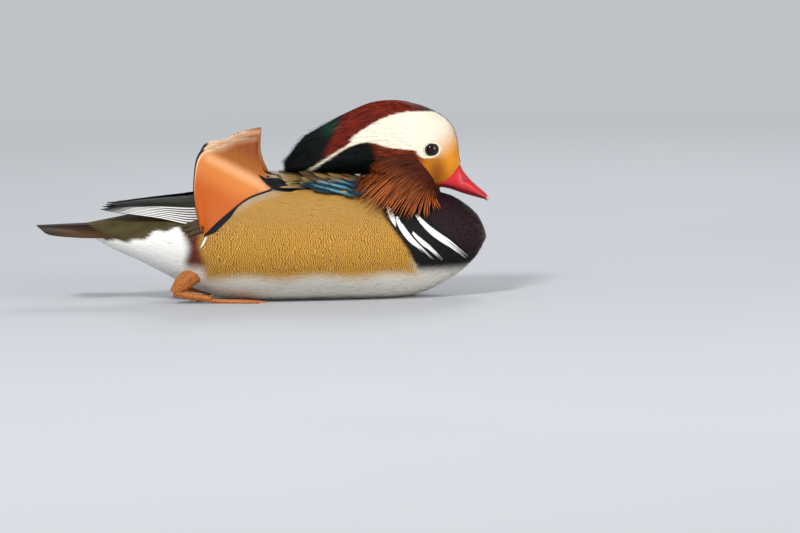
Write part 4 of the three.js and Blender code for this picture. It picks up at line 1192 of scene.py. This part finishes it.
def sail_barbs(side, word):
    """Loose barb ends along the sail's top and front edges."""
    rng = np.random.default_rng(31)
    top, front, stations = 520, 200, 5
    t = np.linspace(0, 1, stations)[None, :]
    u = np.concatenate([rng.random(top) ** 1.3 * 0.6, np.zeros(front)])[:, None] * np.ones((1, stations))
    start = np.concatenate([np.full(top, 0.965), 0.45 + 0.53 * rng.random(front)])[:, None]
    base = sail_point(u, start)
    out = unit(sail_point(u, 1.0) - sail_point(u, 0.8))
    loose = smooth(0.5, 0.0, u[:, :1])
    reach = (2.2 + 1.6 * loose * rng.random((top + front, 1))) * t
    is_front = (np.arange(top + front) >= top)[:, None]
    reach = np.where(is_front, 0.6 * reach * smooth(0.4, 0.9, start), reach)
    forward = unit(sail_point(u * 0, start) - sail_point(u * 0 + 0.03, start))
    ahead = unit(forward + 0.9 * out)
    path = base + np.where(is_front[..., None], ahead, out) * reach[..., None]
    path[..., 0] += np.where(is_front, 0, 0.5 * loose * t ** 2)
    path[..., 1] += rng.normal(0, 0.3, (top + front, 1)) * t
    normals = unit(np.array([0.1, 0.9, 0.3]))
    half = 0.2 * taper(stations, 0.9, 0.1)[None, :]
    colours = sail_colour(base, u, np.where(is_front, start, 0.9 + 0.1 * t))
    path, normals = mirrored(side < 0, path, normals)
    places = np.stack([0.45 + 0.1 * u[:, 0], 0.85 + 0.1 * start[:, 0]], axis=1)
    piece = vanes(f"sail_barbs_{word}", path, normals, half, colours, places, 0.08, 0.0, None)
    return finish_piece(piece, feather_material(f"barb_plumage_{word}", 0.6, 1.0, 0.2), "plumage_sail")


def sail_outer_web(side, word):
    """The narrow blue-black web on the outer side of the sail's shaft."""
    stations, columns = 50, 7
    u = np.linspace(0, 1, stations)
    x, z = sail_shaft_x(u), sail_shaft_z(u)
    width = line((0, 0.9), (0.35, 1.0), (0.5, 0.9), (0.58, 1.6), (0.66, 3.6), (0.85, 4.6), (1, 0.9))(u)
    path = np.stack([x, BODY.side(x, z, 1.2), z], axis=-1)[None]
    normals = np.stack([0 * u - 0.1, 0 * u + 0.92, 0 * u + 0.35], axis=-1)[None]
    grid, run, off = feather_grid(path, unit(normals), 0.5 * width[None], columns, 0.1)
    down = np.array([0.35, 0, -0.94])
    grid = grid + down * (0.42 * width)[None, :, None, None]
    surface = BODY.side(grid[..., 0], grid[..., 2], 0.9)
    grid[..., 1] = np.maximum(grid[..., 1], surface)
    colours = np.broadcast_to(rgb("0a0c1a"), grid.shape)
    if side < 0:
        grid, colours, off = other_side(grid, colours, off)
    piece = sheets(f"sail_web_{word}", grid, 0.2, colours, run, off, np.array([[0.5, 0.8]]))
    material = feather_material(f"web_plumage_{word}", 0.5, 0.6, 0.0, specular=0.15, contrast=0.1)
    return finish_piece(piece, material, "plumage_sail")


# Tail

def tail_feathers():
    roots, normals, tones = [], [], []
    for i in range(6):
        for side in (-1, 1):
            out = i + 0.5
            roots.append([[-102, side * (0.8 + 1.1 * out), 63 - 1.5 * out],
                          [-128, side * (1 + 1.9 * out), 62.6 - 1.4 * out],
                          [-176.7 + 1.4 * i, side * (0.4 + 3.1 * out), 61 - 0.75 * out]])
            tilt = 0.05 + 0.085 * out
            normals.append([0, side * math.sin(tilt), math.cos(tilt)])
            tones.append(0.2 + 0.1 * i)
    stations = 26
    path = through(roots, stations)
    normals = np.array(normals)[:, None, :]
    half = 6.1 * rounded(stations, 0.5, 0.42, 0.12)
    grid, run, off = feather_grid(path, normals, half, 11, 0.14)
    colours = blend(rgb("1a1009"), rgb("5e4129"), np.array(tones)[:, None, None])
    toward_tip = smooth(0.75, 1.0, np.linspace(0, 1, stations))
    colours = blend(colours, rgb("14100e"), 0.7 * toward_tip[None, :, None])
    places = np.stack([np.linspace(0.02, 0.08, 12), np.linspace(0.2, 0.8, 12)], axis=1)
    piece = sheets("tail_feathers", grid, 0.3, colours, run, off, places)
    material = feather_material("tail_plumage", 0.55, 0.6, 0.2, specular=0.12)
    return finish_piece(piece, material, "plumage_tail", "tail")


# Bill and eyes

BILL = {
    "from": 136, "tip": 176.7, "lower_tip": 173.4,
    "culmen": line((136, 104), (150, 103.5), (153.5, 102.4), (156.4, 96.9), (162.9, 88.9), (168.6, 83.6),
                   (174.3, 78.4), (176.2, 75.4), (176.7, 73.6)),
    "mouth": line((136, 87.8), (142, 86.8), (157, 82.2), (172, 76.4), (176.7, 73.4)),
    "under": line((136, 85), (142, 84.2), (157, 79.2), (169, 75.6), (173.6, 74.4)),
    "half": line((136, 10.8), (150, 9.8), (157, 8.4), (165, 7.2), (172, 6.2), (175.4, 4.4), (176.7, 1.6)),
}


def bill_half(name, to, flat, round_side, narrower, groove):
    rings, sides = 60, 48
    share = np.sin(0.5 * np.pi * np.linspace(0, 1, rings))[:, None]
    x = BILL["from"] + (to - BILL["from"]) * share
    angle = circle(sides)
    half = BILL["half"](x) - narrower
    height = round_side(x) - flat(x)
    s, c = np.sin(angle), np.cos(angle)
    rise = np.where(s > 0, height * np.abs(s) ** 0.9, 0.02 * height * s)
    y = half * np.sign(c) * np.abs(c) ** 0.9
    z = flat(x) + rise
    if groove:
        dent = smooth(2.6, 0.4, np.hypot((x - 157.6) + 0.9 * (z - 90.4), 2.2 * (z - 90.4)) / 1.2)
        y = y * (1 - 0.22 * dent)
        lip = smooth(1.2, 0.2, np.abs(z - flat(x) - 1.6)) * smooth(174, 168, x)
        y = y * (1 - 0.035 * lip)
    points = np.stack([x + 0 * y, y, z], axis=-1).reshape(-1, 3)
    faces = loft_faces(rings, sides)
    if height[0, 0] > 0:
        faces = [tuple(reversed(face)) for face in faces]
    return mesh_object(name, points, faces), points


BILL_COLOURS = {
    "red": rgb("b80c18"), "light": rgb("d8202c"), "mouth": rgb("6a0410"), "nostril": rgb("3d0a10"),
    "ridge": rgb("2a0508"), "tip": rgb("d9b6a3"), "lower": rgb("7a1020"), "nail_root": rgb("b02a26"),
    "nail": rgb("d8b39c"),
}


def bill_colour(points):
    x, y, z = points[:, 0], points[:, 1], points[:, 2]
    above_mouth = z - BILL["mouth"](x)
    light = smooth(-2.5, 3.0, above_mouth - 3) * smooth(-1, 4, BILL["culmen"](x) - z)
    colour = blend(BILL_COLOURS["red"], BILL_COLOURS["light"], 0.6 * light)
    colour = blend(colour, BILL_COLOURS["mouth"], 0.7 * smooth(1.2, 0.2, np.abs(above_mouth)))
    nostril = smooth(2.4, 0.8, np.hypot(x - 157.6, 1.5 * (z - 90.4))) * (np.abs(y) > 3)
    colour = blend(colour, BILL_COLOURS["nostril"], 0.85 * nostril)
    ridge = smooth(2.0, 0.3, np.abs(y)) * smooth(173, 168, x) * (z > BILL["mouth"](x) + 1)
    colour = blend(colour, BILL_COLOURS["ridge"], 0.8 * ridge)
    return blend(colour, BILL_COLOURS["tip"], smooth(173.2, 175.2, x - 0.35 * (z - 76)))


def bill_material():
    material, tree, shader = node_material("bill_horn", 0.38, 0.4)
    shader.inputs["Subsurface Weight"].default_value = 0.12
    shader.inputs["Subsurface Scale"].default_value = 0.003
    tint = attribute(tree, "tint").outputs["Color"]
    grain = noise(tree, 380.0, 4.0)
    dark = mix_colour(tree, ramp(tree, grain, 0.3, 0.7), (0.78, 0.78, 0.78), (1.0, 1.0, 1.0))
    tree.links.new(mix_colour(tree, 1.0, tint, dark, "MULTIPLY"), shader.inputs["Base Color"])
    bump(tree, shader, noise(tree, 900.0), 0.15)
    return material


def make_bill():
    material = bill_material()
    upper, points = bill_half("bill_upper_horn", BILL["tip"], BILL["mouth"], BILL["culmen"], 0, True)
    set_tint(upper.data, bill_colour(points))
    nail = nail_mesh()
    upper = join_meshes("bill_upper_horn", [upper, nail])
    finish_piece(upper, material, "bill", "bill_upper")
    lower, points = bill_half("bill_lower_horn", BILL["lower_tip"], lambda x: BILL["mouth"](x) - 0.5,
                              BILL["under"], 0.9, False)
    set_tint(lower.data, blend(bill_colour(points), BILL_COLOURS["lower"], 0.35))
    finish_piece(lower, material, "bill", "bill_lower")


def ellipsoid(name, middle, radii, pitch=0.0, rings=24, sides=32):
    polar = np.linspace(0.02, np.pi - 0.02, rings)[:, None]
    angle = circle(sides)
    ball = np.stack([np.sin(polar) * np.cos(angle), np.sin(polar) * np.sin(angle),
                     np.cos(polar) + 0 * angle], axis=-1)
    spin = np.array(Matrix.Rotation(pitch, 3, "Y"))
    points = (ball.reshape(-1, 3) * radii) @ spin.T + middle
    return mesh_object(name, points, loft_faces(rings, sides)), points


def nail_mesh():
    nail, points = ellipsoid("bill_nail", (173.1, 0, 76.8), (4.1, 3.3, 2.1), 0.9)
    toward_tip = smooth(171.5, 174.5, points[:, 0])
    set_tint(nail.data, blend(BILL_COLOURS["nail_root"], BILL_COLOURS["nail"], toward_tip))
    return nail


def make_eye(side, word):
    y = side * (eye_side + EYE["proud"] - EYE["radius"])
    middle, radii = (EYE["x"], y, EYE["z"]), (EYE["radius"],) * 3
    ball, points = ellipsoid(f"eye_ball_{word}", middle, radii, rings=48, sides=48)
    around = np.hypot(points[:, 0] - EYE["x"], points[:, 2] - EYE["z"])
    set_tint(ball.data, blend(rgb("2a1208"), rgb("050303"), smooth(2.9, 2.5, around)))
    material, tree, shader = node_material(f"eye_glass_{word}", 0.05, 0.35)
    tree.links.new(attribute(tree, "tint").outputs["Color"], shader.inputs["Base Color"])
    finish_piece(ball, material, "eye", f"eye_{word}")
    return eye_lids(side, word)


def eye_lids(side, word):
    """A dark rim of bare skin, in an oval round the eye."""
    rings, sides = 72, 12
    around = circle(rings).T
    tube = circle(sides)
    thick = 0.62 + 0.08 * np.sin(around * 24)
    long = EYE["long"] + 0.15 + thick * np.cos(tube)
    high = EYE["high"] + 0.15 + thick * np.cos(tube)
    x = long * np.cos(around)
    z = high * np.sin(around)
    y = thick * np.sin(tube) + 0 * x
    turn = -side * 0.38
    px = EYE["x"] + x * math.cos(turn) - side * y * math.sin(turn)
    py = side * (eye_side + 0.35) + x * math.sin(turn) + side * y * math.cos(turn)
    pz = EYE["z"] + z
    points = np.stack([px, py, pz], axis=-1).reshape(-1, 3)
    faces = []
    for i in range(rings):
        here = i * sides
        there = (i + 1) % rings * sides
        for j in range(sides):
            k = (j + 1) % sides
            faces.append((here + j, here + k, there + k, there + j))
    lids = mesh_object(f"eye_lids_{word}", points, faces)
    set_tint(lids.data, np.broadcast_to(rgb("1a1210"), points.shape))
    return finish_piece(lids, skin_material(f"lid_skin_{word}"), "plumage_head")


def foot_material():
    material, tree, shader = node_material("foot_skin", 0.55, 0.4)
    cells = add_node(tree, "ShaderNodeTexVoronoi")
    place = add_node(tree, "ShaderNodeTexCoord")
    tree.links.new(place.outputs["Object"], cells.inputs["Vector"])
    cells.inputs["Scale"].default_value = 620.0
    shade = ramp(tree, cells.outputs["Distance"], 0.0, 0.9)
    colour = mix_colour(tree, shade, rgb("c9772c"), rgb("8a4a18"))
    tree.links.new(colour, shader.inputs["Base Color"])
    bump(tree, shader, cells.outputs["Distance"], 0.5)
    return material


# Making the bird

make_skin()
body_coat("body_feathers_front", 40, 172)
body_coat("body_feathers_rear", -136, 40)
face_coat()
crest_coat()
crest_wisps()
neck_coat()
breast_bars()
tail_feathers()
make_bill()
for side, word in ((-1, "right"), (1, "left")):
    ruff_coat(side, word)
    flight_feathers(side, word)
    wing_coverts(side, word)
    scapular_feathers(side, word)
    tertial_feathers(side, word)
    secondary_tips(side, word)
    sail(side, word)
    sail_barbs(side, word)
    sail_outer_web(side, word)
    make_eye(side, word)

scaly = foot_material()
for name in ("leg_right", "leg_left", "foot_right", "foot_left"):
    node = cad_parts[name]
    node.data.materials.clear()
    node.data.materials.append(scaly)


# Floor, lights and camera

STUDIO = {"colour": (0.84, 0.88, 0.93), "strength": 0.62, "aim": (0, 0, 0.07)}


def add_floor():
    mesh = bpy.data.meshes.new("floor")
    far = 30
    corners = [(-far, -far, 0), (far, -far, 0), (far, far, 0), (-far, far, 0)]
    mesh.from_pydata(corners, [], [(0, 1, 2, 3)])
    floor = add_object("floor", mesh)
    material, tree, shader = node_material("floor_paper", 0.9, 0.2)
    pale = mix_colour(tree, noise(tree, 3.0), (0.47, 0.48, 0.50), (0.50, 0.51, 0.53))
    tree.links.new(pale, shader.inputs["Base Color"])
    place = add_node(tree, "ShaderNodeTexCoord")
    away = add_node(tree, "ShaderNodeVectorMath", operation="LENGTH")
    tree.links.new(place.outputs["Object"], away.inputs[0])
    glow = add_node(tree, "ShaderNodeEmission")
    glow.inputs["Color"].default_value = (*STUDIO["colour"], 1)
    glow.inputs["Strength"].default_value = STUDIO["strength"]
    fade = add_node(tree, "ShaderNodeMixShader")
    tree.links.new(ramp(tree, away.outputs["Value"], 0.6, 2.6), fade.inputs[0])
    tree.links.new(shader.outputs[0], fade.inputs[1])
    tree.links.new(glow.outputs[0], fade.inputs[2])
    tree.links.new(fade.outputs[0], tree.nodes["Material Output"].inputs["Surface"])
    mesh.materials.append(material)


def add_light(name, place, size, power):
    data = bpy.data.lights.new(name, "AREA")
    data.shape = "DISK"
    data.size = size
    data.energy = power
    lamp = add_object(name, data)
    lamp.location = place
    lamp.rotation_euler = (Vector(STUDIO["aim"]) - Vector(place)).to_track_quat("-Z", "Y").to_euler()


CAMERA = {"distance": 4.0, "focal": 230.8, "sensor": 36.0, "aim": (0.1057, 0.0, 0.0231), "elevation": 5.0,
          "roll": -1.1}


def add_camera():
    data = bpy.data.cameras.new("camera")
    data.sensor_width = CAMERA["sensor"]
    data.lens = CAMERA["focal"]
    camera = add_object("camera", data)
    rise = math.radians(CAMERA["elevation"])
    aim = Vector(CAMERA["aim"])
    camera.location = aim + CAMERA["distance"] * Vector((0, -math.cos(rise), math.sin(rise)))
    turn = (aim - camera.location).to_track_quat("-Z", "Y").to_matrix()
    turn = turn @ Matrix.Rotation(math.radians(CAMERA["roll"]), 3, "Z")
    camera.rotation_euler = turn.to_euler()
    bpy.context.scene.camera = camera


def add_world():
    world = bpy.data.worlds.new("studio")
    world.use_nodes = True
    back = world.node_tree.nodes["Background"]
    back.inputs["Color"].default_value = (*STUDIO["colour"], 1)
    back.inputs["Strength"].default_value = STUDIO["strength"]
    bpy.context.scene.world = world


add_floor()
add_light("key", (-0.9, -2.0, 1.9), 0.55, 52)
add_light("fill", (1.9, -1.5, 0.8), 1.2, 30)
add_light("rim", (0.4, 1.8, 1.5), 1.0, 18)
add_world()
add_camera()
bpy.context.scene.view_settings.view_transform = "Standard"
